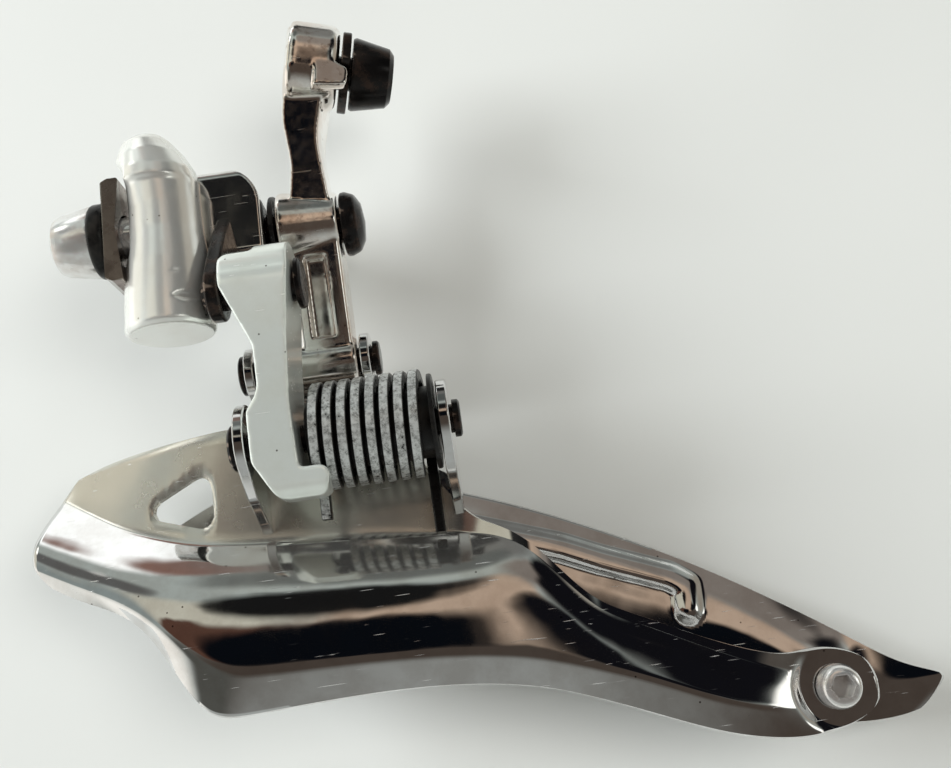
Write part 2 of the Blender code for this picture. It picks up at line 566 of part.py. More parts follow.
def cage_inner_plate(parent):
    """Inner cage plate: upper wall, sloping shelf, lower face, ears for the inner pin."""
    rails = [INNER_TOP, INNER_CREASE, INNER_RIDGE, INNER_LOWER_CREASE, INNER_BOTTOM]
    plate = net_sheet("cage_inner_plate", rails, 1, "chromed_steel", parent, ((1, 0.55), (3, 0.5)))
    y, z = INNER_LOWER
    front = hull([(y, z + 0.3, 4.4), (y + 2.5, z - 3.4, 3.0), (WALL_Y, -26.6, 0.6), (WALL_Y, -36.2, 0.6)])
    rear = hull([(y, z, 4.5), (y + 1.0, z - 3.0, 3.6), (WALL_Y - 1.0, -32.5, 2.0), (WALL_Y, -37.0, 0.6)])
    ears = [ear("inner_ear_front", front, INNER_EARS[0]), ear("inner_ear_rear", rear, INNER_EARS[1])]
    root = helper("inner_ear_root", prism([(31.4, -37.5), (33.9, -37.5), (33.9, -33.4), (31.4, -31.6)], "XZ",
                                          WALL_Y - SHEET / 2, WALL_Y + SHEET / 2))
    combine(plate, [*ears, root], "UNION")
    cuts = [window_cutter(), bore("inner_ear_hole", INNER_LOWER, 1.6 + GAP, 5, 40),
            bore("inner_tail_hole", TAIL, 1.5 + GAP, 0, 10, "Y")]
    cuts += [bore(f"inner_rivet_hole_{x:.0f}", (x, RIVET_Z), 1.0 + GAP, 2, 7.6, "Y") for x in RIVETS_X]
    combine(plate, cuts, "DIFFERENCE")


def cage_outer_plate(parent):
    """Outer cage plate: long wall, raised tower with two ears, bridge to the inner plate."""
    rails = [OUTER_TOP, OUTER_UPPER_MID, OUTER_LOWER_MID, OUTER_BOTTOM]
    plate = net_sheet("cage_outer_plate", rails, 1, "chromed_steel", parent)
    y, z = OUTER_LOWER
    side = hull([(y, z, 3.3), (TOWER_Y - 0.2, -13.6, 0.8), (TOWER_Y - 0.2, -20.5, 0.8)])
    ears = [ear(f"outer_ear_{end}", side, span) for end, span in zip(("front", "rear"), OUTER_EARS)]
    tower_path = [(TOWER_Y, -13.0), (TOWER_Y, -25.5), (20.0, -29.0), (20.0, -31.5)]
    tower = helper("outer_tower", bent_sheet(tower_path, OUTER_EARS[0][0], OUTER_EARS[1][1]))
    bevel(tower, 0.2)
    bridge_path = [(TOWER_Y, DECK_Z), (FLANGE_Y + 1.2, DECK_Z), (FLANGE_Y, DECK_Z - 1.2), (FLANGE_Y, -31.4)]
    deck = helper("outer_deck", bent_sheet(bridge_path, 13.2, 22.8))
    combine(plate, [tower, deck, *ears], "UNION")
    cuts = [bore("outer_ear_hole", OUTER_LOWER, 1.6 + GAP, 5, 40),
            bore("outer_tail_hole", TAIL, 1.5 + GAP, 12, 22, "Y")]
    cuts += [bore(f"outer_rivet_hole_{x:.0f}", (x, RIVET_Z), 1.0 + GAP, 6, 12, "Y") for x in RIVETS_X]
    combine(plate, cuts, "DIFFERENCE")


def cage_pins(parent):
    inner = [(9.4, 0), (9.4, 2.3), (9.7, 2.6), (10.2, 2.6), (10.2, 1.6), (34.25, 1.6), (34.25, 2.1),
             (34.9, 2.1), (35.1, 1.8), (35.1, 0)]
    piece("inner_cage_pin", lathe(inner, INNER_LOWER), "black_oxide", parent)
    outer = [(8.3, 0), (8.3, 2.2), (8.5, 2.5), (8.9, 2.5), (8.9, 1.6), (25.1, 1.6), (25.1, 2.15),
             (25.7, 2.15), (25.9, 1.9), (25.9, 0)]
    piece("outer_cage_pin", lathe(outer, OUTER_LOWER), "black_oxide", parent)
    sleeve = [(18.3, 1.9), (18.3, 4.0), (31.9, 4.0), (31.9, 5.3), (32.3, 5.3), (32.45, 5.15), (32.45, 1.9)]
    piece("spring_bush", lathe(sleeve, INNER_LOWER, hollow=True), "black_polymer", parent)


def cage_fasteners(parent):
    near = WALL_Y - SHEET / 2 - GAP
    far = FLANGE_Y + SHEET / 2 + GAP
    for index, x in enumerate(RIVETS_X):
        profile = [(near - 0.7, 0), (near - 0.7, 1.3), (near - 0.4, 1.7), (near, 1.7), (near, 1.0),
                   (far, 1.0), (far, 1.7), (far + 0.4, 1.7), (far + 0.7, 1.3), (far + 0.7, 0)]
        piece(f"bridge_rivet_{index + 1}", lathe(profile, (x, RIVET_Z), "Y", 16), "bolt_steel", parent)
    face = TAIL_INNER_Y - SHEET / 2 - GAP
    back = TAIL_OUTER_Y + SHEET / 2 + GAP
    spacer = tube(TAIL, 1.5 + GAP, 3.0, TAIL_INNER_Y + SHEET / 2 + GAP, TAIL_OUTER_Y - SHEET / 2 - GAP - 0.1,
                  direction="Y")
    piece("tail_spacer", spacer, "bolt_steel", parent)
    profile = [(face - 2.0, 0), (face - 2.0, 1.7), (face - 1.5, 2.2), (face - 0.5, 2.45), (face, 2.45),
               (face, 1.5), (back + 0.9, 1.5), (back + 1.1, 1.3), (back + 1.1, 0)]
    screw = piece("tail_screw", lathe(profile, TAIL, "Y"), "bolt_steel", parent)
    combine(screw, [hex_socket("tail_socket", TAIL, 1.35, 0, face - 0.7, "Y")], "DIFFERENCE")


def return_spring(parent):
    """Left-handed coil of rectangular wire: one leg on the cage shelf, one behind the link's foot."""
    axis_y, axis_z = INNER_LOWER
    axial = Vector((1, 0, 0))
    coil = []
    count = round(SPRING_TURNS * STEPS_PER_TURN)
    for step in range(count + 1):
        share = step / STEPS_PER_TURN
        angle = math.radians(-90) - 2 * math.pi * share
        x = SPRING_START + WIRE_WIDTH / 2 + SPRING_PITCH * share
        y = axis_y + SPRING_RADIUS * math.cos(angle)
        z = axis_z + SPRING_RADIUS * math.sin(angle)
        coil.append(Vector((x, y, z)))
    hook = [Vector((coil[0].x, y, z)) for y, z in ((-0.3, -36.8), (-0.3, -35.2), (-0.45, -33.9))]
    leg = [Vector((coil[-1].x, y, z)) for y, z in ((4.1, -30.5), (4.3, -34.0), (4.9, -39.2))]
    path = hook + coil + leg
    bm = bmesh.new()
    rings = []
    for index, centre in enumerate(path):
        ahead = path[min(index + 1, len(path) - 1)] - path[max(index - 1, 0)]
        ahead.x = 0
        outward = axial.cross(ahead.normalized())
        ring = []
        for across, out in ((-1, -1), (1, -1), (1, 1), (-1, 1)):
            shift = axial * across * WIRE_WIDTH / 2 + outward * out * WIRE_DEPTH / 2
            ring.append(bm.verts.new(centre + shift))
        rings.append(ring)
    for ring, other in zip(rings, rings[1:]):
        bridge(bm, ring, other)
    bm.faces.new(rings[0])
    bm.faces.new(reversed(rings[-1]))
    piece("return_spring", bm, "spring_steel", parent)


def main():
    clear_scene()
    outer_pivot = pivot("outer_link_pivot", 19.8, OUTER_UPPER)
    inner_pivot = pivot("inner_link_pivot", 15.0, INNER_UPPER)
    cage_pivot = pivot("cage_pivot", 22.0, INNER_LOWER, inner_pivot)

    mounting_body()
    mounting_hardware()
    pivot_hardware()
    for name, x in zip(("limit_screw_low", "limit_screw_high"), LIMIT_SCREWS_X):
        limit_screw(name, x)
    outer_link(outer_pivot)
    cable_clamp(outer_pivot)
    inner_link(inner_pivot)
    cage_inner_plate(cage_pivot)
    cage_outer_plate(cage_pivot)
    cage_pins(cage_pivot)
    cage_fasteners(cage_pivot)
    return_spring(cage_pivot)


main()
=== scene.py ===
"""Looks of a worn, polished braze-on front derailleur, built over its CAD frame.

Lengths are in millimetres, in the frame's own axes: +X to the rear of the bicycle
along the pivot pins, +Y to the drive side, +Z up along the seat tube.
"""

import math

import bmesh
import bpy
from mathutils import Matrix, Vector


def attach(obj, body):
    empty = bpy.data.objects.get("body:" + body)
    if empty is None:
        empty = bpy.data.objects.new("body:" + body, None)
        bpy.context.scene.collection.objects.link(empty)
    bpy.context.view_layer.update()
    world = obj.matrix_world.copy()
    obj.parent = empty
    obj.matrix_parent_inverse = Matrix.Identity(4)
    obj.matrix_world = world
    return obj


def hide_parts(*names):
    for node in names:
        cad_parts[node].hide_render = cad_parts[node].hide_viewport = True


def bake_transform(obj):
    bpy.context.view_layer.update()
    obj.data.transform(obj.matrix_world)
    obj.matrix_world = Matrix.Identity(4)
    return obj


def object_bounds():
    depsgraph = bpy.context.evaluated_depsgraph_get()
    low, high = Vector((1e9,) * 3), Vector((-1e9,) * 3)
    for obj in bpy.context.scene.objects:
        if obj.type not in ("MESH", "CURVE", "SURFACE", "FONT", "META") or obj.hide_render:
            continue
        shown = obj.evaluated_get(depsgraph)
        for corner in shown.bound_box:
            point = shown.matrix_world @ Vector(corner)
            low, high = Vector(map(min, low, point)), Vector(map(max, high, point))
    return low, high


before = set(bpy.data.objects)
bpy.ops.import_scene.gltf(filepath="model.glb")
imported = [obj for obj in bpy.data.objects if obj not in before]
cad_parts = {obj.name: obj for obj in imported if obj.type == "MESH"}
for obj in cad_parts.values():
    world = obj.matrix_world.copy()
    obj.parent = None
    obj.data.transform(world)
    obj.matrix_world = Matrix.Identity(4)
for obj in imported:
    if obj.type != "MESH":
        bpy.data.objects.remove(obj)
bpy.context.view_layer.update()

MM = 0.001
GAP = 0.3                      # clearance between neighbouring pieces
SHEET = 1.2                    # thickness of the cage steel
ROUND_STEPS = 24               # sides of a small round piece

# Pivot axes, all parallel to X, as (y, z).  They form an exact parallelogram.
LINK = Vector((2.3, -17.4))
INNER_UPPER = Vector((-3.6, -10.3))
OUTER_UPPER = Vector((9.9, 1.7))
INNER_LOWER = INNER_UPPER + LINK
OUTER_LOWER = OUTER_UPPER + LINK

# Mounting body; the column's sections run from bottom to top, as (z, centre x, radius)
COLUMN = ((-13.1, 3.35, 4.8), (-12.6, 3.35, 5.2), (-9.0, 3.4, 5.1), (-5.0, 3.5, 4.85), (-1.0, 3.5, 4.45),
          (2.0, 3.5, 4.35), (4.7, 3.3, 4.5), (5.3, 2.95, 4.9), (6.8, 2.8, 4.75), (9.0, 2.35, 4.05),
          (10.9, 1.95, 3.0), (11.8, 2.1, 1.9), (12.2, 2.3, 0.8))
PAD_X = 0.0                    # the flat that rests on the hanger, between two heights
PAD_TOP = 6.7
PAD_BOTTOM = -3.6
BOLT_END = 6.1                 # rear end of the mounting bolt's shank
BLOCK_FRONT = 2.6              # block behind the column, for the outer pivot
BLOCK_REAR = 14.3
LIMIT_SCREWS_X = (7.0, 10.9)
LUG_FRONT = 8.0                # lug below the block, for the inner pivot
LUG_REAR = 10.6

# Links
OUTER_BARREL = (15.5, 23.1)    # barrels' ends, as (front x, rear x)
OUTER_FOOT = (11.1, 23.3)
ANCHOR = Vector((22.4, 5.0, 21.1))   # cable bolt, at the middle of the arm's head
ANCHOR_TILT = math.radians(10.0)
ANCHOR_TURN = math.radians(12.0)
HEAD_FRONT = -3.7              # ends of the arm's head along its own axis, from the anchor
HEAD_REAR = 3.0
INNER_BARREL = (10.9, 18.6)

# Cage ears, each as (front x, rear x)
INNER_EARS = ((10.5, 11.7), (32.75, 33.95))
OUTER_EARS = ((9.2, 10.4), (23.6, 24.8))
WALL_Y = 6.8                   # middle of the inner plate's wall
TOWER_Y = 17.2                 # middle of the outer plate's raised part
DECK_Z = -23.4                 # top of the bridge between the plates
FLANGE_Y = WALL_Y + SHEET + GAP   # bridge's flange, behind the inner plate's wall
RIVETS_X = (15.4, 20.6)
RIVET_Z = -29.0
TAIL = Vector((71.8, -61.9))   # tail screw, as (x, z)
TAIL_INNER_Y = 6.0
TAIL_OUTER_Y = 17.0

# Return spring
SPRING_START = 18.5            # front of the first coil
SPRING_TURNS = 7.75
SPRING_PITCH = 1.54
SPRING_RADIUS = 5.35           # centre of the wire
WIRE_WIDTH = 1.15              # along the coil's axis
WIRE_DEPTH = 1.3               # across the coil
STEPS_PER_TURN = 64

BOLT_SEEN = Vector((0.0, -0.5))   # the bolt hangs a little low in its hole

# Camera at the photograph's angle, and the middle of what it looks at
CAMERA_PLACE = Vector((37.2, -120.5, -53.9))
CAMERA_RISE = math.radians(14)
CAMERA_ROLL = math.radians(8)
CAMERA_LENS = 41.64
MIDDLE = Vector((30, 8, -25))

# Room seen in the mirror surfaces
BACKDROP = (0.80, 0.82, 0.81)
ROOM_TOP = (0.41, 0.45, 0.42)
ROOM_LOW = (0.42, 0.44, 0.42)
# Each shape: azimuth from the viewer, elevation, the angles where it starts and ends, how many
# times wider than high it is, and its colour
ROOM_SHAPES = (
    (-95, 0, 22, 45, 1.0, (1.15, 1.13, 1.05)),
    (-72, 28, 8, 20, 1.0, (0.70, 0.67, 0.56)),
    (-65, 66, 8, 15, 1.0, (1.40, 1.43, 1.40)),
    (-40, 66, 4, 9, 1.0, (0.26, 0.15, 0.12)),
    (85, 15, 20, 45, 1.0, (0.33, 0.30, 0.25)),
    (30, 70, 10, 30, 1.0, (0.17, 0.17, 0.16)),
    (-6, 54, 7, 16, 1.0, (0.10, 0.11, 0.105)),
    (0, -8, 25, 60, 2.5, (0.07, 0.055, 0.045)),
    (-42, -21, 9, 20, 1.0, (0.09, 0.09, 0.08)),
    (-53, 12, 6, 15, 1.0, (0.28, 0.32, 0.31)),
    (-49, 34, 5, 12, 1.0, (0.13, 0.13, 0.125)),
    (-29, 16, 12, 22, 1.5, (0.60, 0.58, 0.48)),
    (4, 16, 10, 16, 1.0, (0.52, 0.39, 0.29)),
    (24, 33, 9, 18, 1.0, (0.23, 0.20, 0.175)),
    (-22, 6.5, 16, 22, 3.5, (0.10, 0.05, 0.035)),
    (-10, 5, 12, 17, 2.2, (0.003, 0.004, 0.006)),
    (-9, 26, 8, 13, 1.0, (0.01, 0.01, 0.01)),
    (20, 9, 8, 14, 1.8, (0.006, 0.006, 0.008)),
    (34, 20, 8, 14, 1.0, (0.006, 0.006, 0.008)),
    (48, 32, 11, 19, 1.0, (0.006, 0.006, 0.008)),
    (0, 85, 6, 12, 1.0, (0.02, 0.02, 0.02)),
    (-62, 42, 4, 9, 1.0, (2.2, 2.2, 2.1)),
    (40, 4, 4, 8, 1.0, (1.6, 1.6, 1.5)),
)

# Path of the outer plate's pressed rib, as (x, z)
RIB = ((30.0, -36.5), (44.9, -41.7), (49.6, -43.9), (57.8, -47.2), (59.6, -48.6), (59.3, -51.4))

# Control rails of the inner plate, each from nose to tail.
INNER_TOP = [(-13.4, 14.0, -25.6), (-8.8, 12.0, -24.6), (-3.2, 9.6, -24.1), (3.0, 7.6, -23.7),
             (8.5, WALL_Y, -23.4), (15.0, WALL_Y, -23.8), (23.0, WALL_Y, -25.0), (30.5, WALL_Y, -30.5),
             (34.0, WALL_Y, -37.6), (37.5, 5.6, -39.2), (40.6, 4.6, -41.4), (44.2, 4.5, -46.2),
             (47.3, 4.7, -49.6), (52.2, 5.0, -51.7), (58.4, 5.2, -55.0), (65.5, 5.4, -57.8),
             (68.6, 6.0, -57.6), (71.8, 6.0, -57.4), (75.6, 6.0, -59.0)]
INNER_CREASE = [(-15.3, 13.4, -28.4), (-10.1, 11.2, -31.4), (-5.9, 9.3, -33.8), (0.6, 7.5, -36.2),
                (6.3, WALL_Y, -37.4), (13.0, WALL_Y, -38.0), (21.5, WALL_Y, -38.6),
                (29.5, WALL_Y, -39.4), (33.8, WALL_Y, -39.8), (37.3, 5.4, -40.6), (40.6, 4.4, -42.6),
                (44.2, 4.3, -47.3), (47.3, 4.6, -50.7), (52.2, 4.9, -52.9), (58.4, 5.1, -56.2),
                (65.3, 5.3, -59.3), (68.8, 6.0, -60.0), (72.0, 6.0, -60.2), (76.2, 6.0, -60.8)]
INNER_RIDGE = [(-17.6, 9.0, -33.6), (-11.0, 7.0, -37.0), (-5.2, 4.6, -40.0), (0.2, 3.2, -41.6),
               (5.4, 2.7, -42.4), (12.0, 2.5, -42.9), (20.0, 2.5, -43.3), (28.0, 2.5, -43.7),
               (33.0, 2.6, -43.9), (37.0, 2.8, -44.2), (40.8, 3.1, -45.6), (44.5, 3.5, -49.8),
               (48.0, 3.8, -52.7), (52.8, 4.1, -55.1), (58.6, 4.5, -58.3), (65.2, 5.0, -61.4),
               (69.0, 6.0, -61.9), (72.2, 6.0, -62.0), (76.5, 6.0, -62.2)]
INNER_LOWER_CREASE = [(-17.2, 8.6, -36.4), (-10.4, 6.4, -39.8), (-4.6, 4.5, -42.8), (-0.2, 3.1, -46.4),
                      (4.8, 2.5, -51.4), (10.0, 2.4, -51.9), (17.5, 2.4, -52.0), (25.5, 2.4, -52.3),
                      (31.0, 2.5, -52.7), (36.0, 2.6, -53.3), (41.0, 2.8, -54.4), (46.0, 3.1, -56.2),
                      (51.0, 3.4, -58.0), (56.0, 3.7, -60.3), (60.8, 4.2, -62.3), (65.6, 4.9, -63.5),
                      (69.2, 6.0, -63.8), (72.2, 6.0, -63.8), (76.2, 6.0, -63.7)]
INNER_BOTTOM = [(-15.2, 8.2, -39.0), (-9.6, 6.3, -42.0), (-3.6, 5.0, -44.0), (0.2, 4.4, -50.4),
                (3.2, 4.0, -56.4), (8.0, 3.9, -56.3), (17.0, 3.8, -55.8), (25.0, 3.8, -55.7),
                (30.5, 3.8, -56.0), (35.5, 3.9, -56.6), (40.5, 4.1, -57.6), (45.5, 4.3, -59.4),
                (50.5, 4.5, -61.5), (55.5, 4.7, -63.7), (60.5, 4.9, -65.6), (66.0, 5.3, -66.7),
                (69.4, 5.9, -66.7), (72.4, 6.0, -66.2), (75.4, 6.0, -64.9)]

# Control rails of the outer plate.
OUTER_TOP = [(-14.0, 21.4, -38.0), (-8.0, 20.6, -34.6), (-2.0, 20.2, -31.4), (4.0, 20.0, -28.6),
             (10.0, 20.0, -27.4), (18.0, 20.8, -28.0), (25.0, 20.8, -29.6), (31.8, 20.8, -32.2),
             (38.2, 20.8, -34.5), (46.4, 20.8, -38.1), (55.0, 20.6, -42.4), (62.7, 20.0, -46.8),
             (68.7, 19.0, -50.9), (74.0, 18.2, -54.6), (79.0, 17.0, -58.2), (83.0, 16.4, -61.2),
             (87.4, 15.0, -62.6)]
OUTER_UPPER_MID = [(-15.0, 21.8, -38.8), (-9.0, 20.8, -36.6), (-3.0, 20.3, -35.0), (3.0, 20.0, -34.2),
                   (10.0, 20.0, -34.0), (18.0, 19.4, -34.4), (25.0, 19.4, -35.6), (31.8, 19.4, -37.4),
                   (38.2, 19.4, -39.4), (46.0, 19.4, -42.6), (54.4, 19.2, -46.8), (62.0, 18.6, -51.0),
                   (68.0, 17.4, -54.8), (73.4, 16.6, -58.2), (78.6, 17.0, -61.2), (82.8, 16.2, -62.8),
                   (86.8, 15.2, -63.4)]
OUTER_LOWER_MID = [(-15.2, 21.8, -39.8), (-9.6, 20.8, -39.4), (-4.4, 20.3, -40.4), (1.0, 20.0, -43.8),
                   (9.0, 20.0, -45.0), (18.0, 19.1, -45.4), (25.0, 19.1, -45.8), (32.0, 19.1, -46.6),
                   (38.6, 19.1, -47.8), (46.2, 19.1, -50.4), (54.2, 18.9, -54.0), (61.6, 18.3, -57.6),
                   (67.6, 17.1, -60.4), (72.8, 16.3, -62.6), (78.2, 17.0, -64.4), (82.2, 16.4, -65.0),
                   (85.6, 15.8, -64.8)]
OUTER_BOTTOM = [(-14.4, 21.6, -40.6), (-10.0, 21.0, -41.8), (-5.6, 20.6, -44.2), (-0.4, 20.6, -50.0),
                (7.0, 20.8, -53.0), (16.0, 20.8, -53.2), (24.0, 20.8, -53.4), (32.0, 20.8, -54.2),
                (39.0, 20.6, -55.4), (46.6, 20.4, -57.8), (54.4, 20.0, -61.0), (61.6, 19.4, -63.8),
                (67.6, 18.2, -65.8), (72.6, 17.4, -66.6), (77.6, 17.0, -67.2), (81.0, 16.6, -67.0),
                (84.0, 16.4, -66.2)]


# ------------------------------------------------------------ outlines and builders

def arc(centre, radius, start, end, steps):
    """Points of an arc; angles in degrees."""
    points = []
    for step in range(steps + 1):
        angle = math.radians(start + (end - start) * step / steps)
        points.append((centre[0] + radius * math.cos(angle), centre[1] + radius * math.sin(angle)))
    return points


def hull(circles, steps=24):
    """Convex outline around circles given as (u, v, radius)."""
    cloud = set()
    for u, v, radius in circles:
        for point in arc((u, v), radius, 0, 360 - 360 / steps, steps - 1):
            cloud.add((round(point[0], 4), round(point[1], 4)))
    cloud = sorted(cloud)

    def chain(points):
        side = []
        for p in points:
            while len(side) > 1 and turn(side[-2], side[-1], p) <= 0.001:
                side.pop()
            side.append(p)
        return side[:-1]
    return chain(cloud) + chain(reversed(cloud))


def turn(a, b, c):
    """Positive where a, b, c turn left, negative where they turn right."""
    return (b[0] - a[0]) * (c[1] - a[1]) - (b[1] - a[1]) * (c[0] - a[0])


def rounded(corners, steps=4):
    """Closed outline of (u, v, radius) corners, each rounded by its radius."""
    outline = []
    count = len(corners)
    for index, (u, v, radius) in enumerate(corners):
        here = Vector((u, v))
        before = (Vector(corners[index - 1][:2]) - here).normalized()
        after = (Vector(corners[(index + 1) % count][:2]) - here).normalized()
        if radius == 0:
            outline.append(tuple(here))
            continue
        half = before.angle(after) / 2
        reach = radius / math.tan(half)
        centre = here + (before + after).normalized() * (radius / math.sin(half))
        first = here + before * reach - centre
        last = here + after * reach - centre
        sweep = last.angle(first)
        side = 1 if first.x * last.y > first.y * last.x else -1
        for step in range(steps + 1):
            spoke = first.copy()
            spoke.rotate(Matrix.Rotation(side * sweep * step / steps, 2))
            outline.append(tuple(centre + spoke))
    return outline


def prism(outline, plane, low, high):
    """Extrude an outline: plane "YZ" along X, "XZ" along Y, "XY" along Z."""
    bm = bmesh.new()
    order = {"YZ": lambda u, v, w: (w, u, v),
             "XZ": lambda u, v, w: (u, w, v),
             "XY": lambda u, v, w: (u, v, w)}
    spot = order[plane]
    rings = []
    for level in (low, high):
        rings.append([bm.verts.new(spot(u, v, level)) for u, v in outline])
    bm.faces.new(rings[0])
    bm.faces.new(reversed(rings[1]))
    bridge(bm, rings[0], rings[1])
    return bm


def bridge(bm, ring, other):
    """Join two closed rings of equal length with quads."""
    count = len(ring)
    for index in range(count):
        after = (index + 1) % count
        bm.faces.new((ring[index], ring[after], other[after], other[index]))


def lathe(profile, centre, axis="X", steps=ROUND_STEPS, hollow=False):
    """Turn (along, radius) points about an axis; hollow closes the profile on itself."""
    bm = bmesh.new()
    rings = []
    for along, radius in profile:
        count = steps if radius > 0 else 1
        ring = []
        for index in range(count):
            angle = 2 * math.pi * index / steps
            u = centre[0] + radius * math.cos(angle)
            v = centre[1] + radius * math.sin(angle)
            place = {"X": (along, u, v), "Y": (u, along, v), "Z": (u, v, along)}[axis]
            ring.append(bm.verts.new(place))
        rings.append(ring)
    pairs = list(zip(rings, rings[1:]))
    if hollow:
        pairs.append((rings[-1], rings[0]))
    for ring, other in pairs:
        if len(ring) == 1 or len(other) == 1:
            fan(bm, ring, other)
        else:
            bridge(bm, ring, other)
    return bm


def fan(bm, ring, other):
    """Close a ring onto a single point on the axis."""
    tip, rim = (ring[0], other) if len(ring) == 1 else (other[0], ring)
    for index, vert in enumerate(rim):
        bm.faces.new((tip, vert, rim[(index + 1) % len(rim)]))


def bent_sheet(path, low, high):
    """A sheet that follows a path of (y, z) points, as wide as low..high along X."""
    left = []
    right = []
    for index, point in enumerate(path):
        here = Vector(point)
        before = Vector(path[max(index - 1, 0)])
        after = Vector(path[min(index + 1, len(path) - 1)])
        into = (here - before).normalized() if index else (after - here).normalized()
        out = (after - here).normalized() if index < len(path) - 1 else into
        across = (into + out).normalized().orthogonal()
        width = SHEET / 2 / max(0.5, across.dot(out.orthogonal()))
        left.append(tuple(here + across * width))
        right.append(tuple(here - across * width))
    return prism(left + right[::-1], "YZ", low, high)


# ------------------------------------------------------------ placing pieces

def new_object(name, bm):
    """Turn a bmesh in millimetres into a smooth-shaded object."""
    bmesh.ops.recalc_face_normals(bm, faces=bm.faces)
    bmesh.ops.scale(bm, vec=(MM, MM, MM), verts=bm.verts)
    mesh = bpy.data.meshes.new(name)
    bm.to_mesh(mesh)
    bm.free()
    mesh.shade_smooth()
    mesh.set_sharp_from_angle(angle=math.radians(32))
    obj = bpy.data.objects.new(name, mesh)
    bpy.context.collection.objects.link(obj)
    return obj


def combine(obj, tools, operation):
    """Add a boolean step for each tool."""
    for tool in tools:
        step = obj.modifiers.new(operation.lower(), "BOOLEAN")
        step.operation = operation
        step.object = tool
        step.solver = "EXACT"


def bevel(obj, width, segments=3, angle=32):
    """Round the edges sharper than an angle."""
    step = obj.modifiers.new("bevel", "BEVEL")
    step.width = width * MM
    step.segments = segments
    step.limit_method = "ANGLE"
    step.angle_limit = math.radians(angle)
    step.harden_normals = True


def apply_all(obj, tools=()):
    """Replace the mesh by its evaluated form and drop the helpers it was cut with."""
    graph = bpy.context.evaluated_depsgraph_get()
    mesh = bpy.data.meshes.new_from_object(obj.evaluated_get(graph))
    obj.modifiers.clear()
    obj.data = mesh
    for tool in tools:
        bpy.data.objects.remove(tool, do_unlink=True)


def forge(obj, voxel=0.2, rounds=6):
    """Round every edge softly, as on a forged and tumbled part."""
    remesh = obj.modifiers.new("remesh", "REMESH")
    remesh.mode = "VOXEL"
    remesh.voxel_size = voxel * MM
    remesh.use_smooth_shade = True
    soft = obj.modifiers.new("soft", "SMOOTH")
    soft.factor = 0.6
    soft.iterations = rounds


def settle(obj, body, finish, *nodes, edge=None, tools=()):
    """Finish a piece: round its edges (bevel's width, segments and angle), then give it its
    material and its body, and hide the CAD nodes it stands in for."""
    if edge:
        bevel(obj, *edge)
    if obj.modifiers:
        apply_all(obj, tools)
    obj.data.materials.clear()
    obj.data.materials.append(finish_material(finish))
    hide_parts(*nodes)
    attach(obj, body)


def turned(name, profile, centre, body, finish, node, axis="X", steps=96, edge=0.12):
    """A lathe-turned piece with softened edges."""
    settle(new_object(name, lathe(profile, centre, axis, steps)), body, finish, node, edge=(edge,))


# ------------------------------------------------------------ material nodes

class Tree:
    """Short calls for building one node tree."""

    def __init__(self, tree):
        self.tree = tree

    def node(self, kind, inputs=(), **settings):
        """Add a node; an input is a socket to link or a value to set."""
        made = self.tree.nodes.new(kind)
        for key, value in settings.items():
            setattr(made, key, value)
        for key, value in dict(inputs).items():
            if isinstance(value, bpy.types.NodeSocket):
                self.tree.links.new(value, made.inputs[key])
            else:
                made.inputs[key].default_value = value
        return made

    def mix(self, factor, first, second):
        """Blend two colours by a factor."""
        made = self.node("ShaderNodeMix", data_type="RGBA")
        for socket, value in ((made.inputs[0], factor), (made.inputs[6], first), (made.inputs[7], second)):
            if isinstance(value, bpy.types.NodeSocket):
                self.tree.links.new(value, socket)
            elif isinstance(value, tuple):
                socket.default_value = (*value, 1.0)
            else:
                socket.default_value = value
        return made.outputs[2]

    def span(self, source, low, high, first=0.0, last=1.0):
        """Map low..high onto first..last, smooth at both ends and held beyond them."""
        inputs = {"Value": source, "From Min": low, "From Max": high, "To Min": first, "To Max": last}
        return self.node("ShaderNodeMapRange", inputs, interpolation_type="SMOOTHSTEP").outputs["Result"]


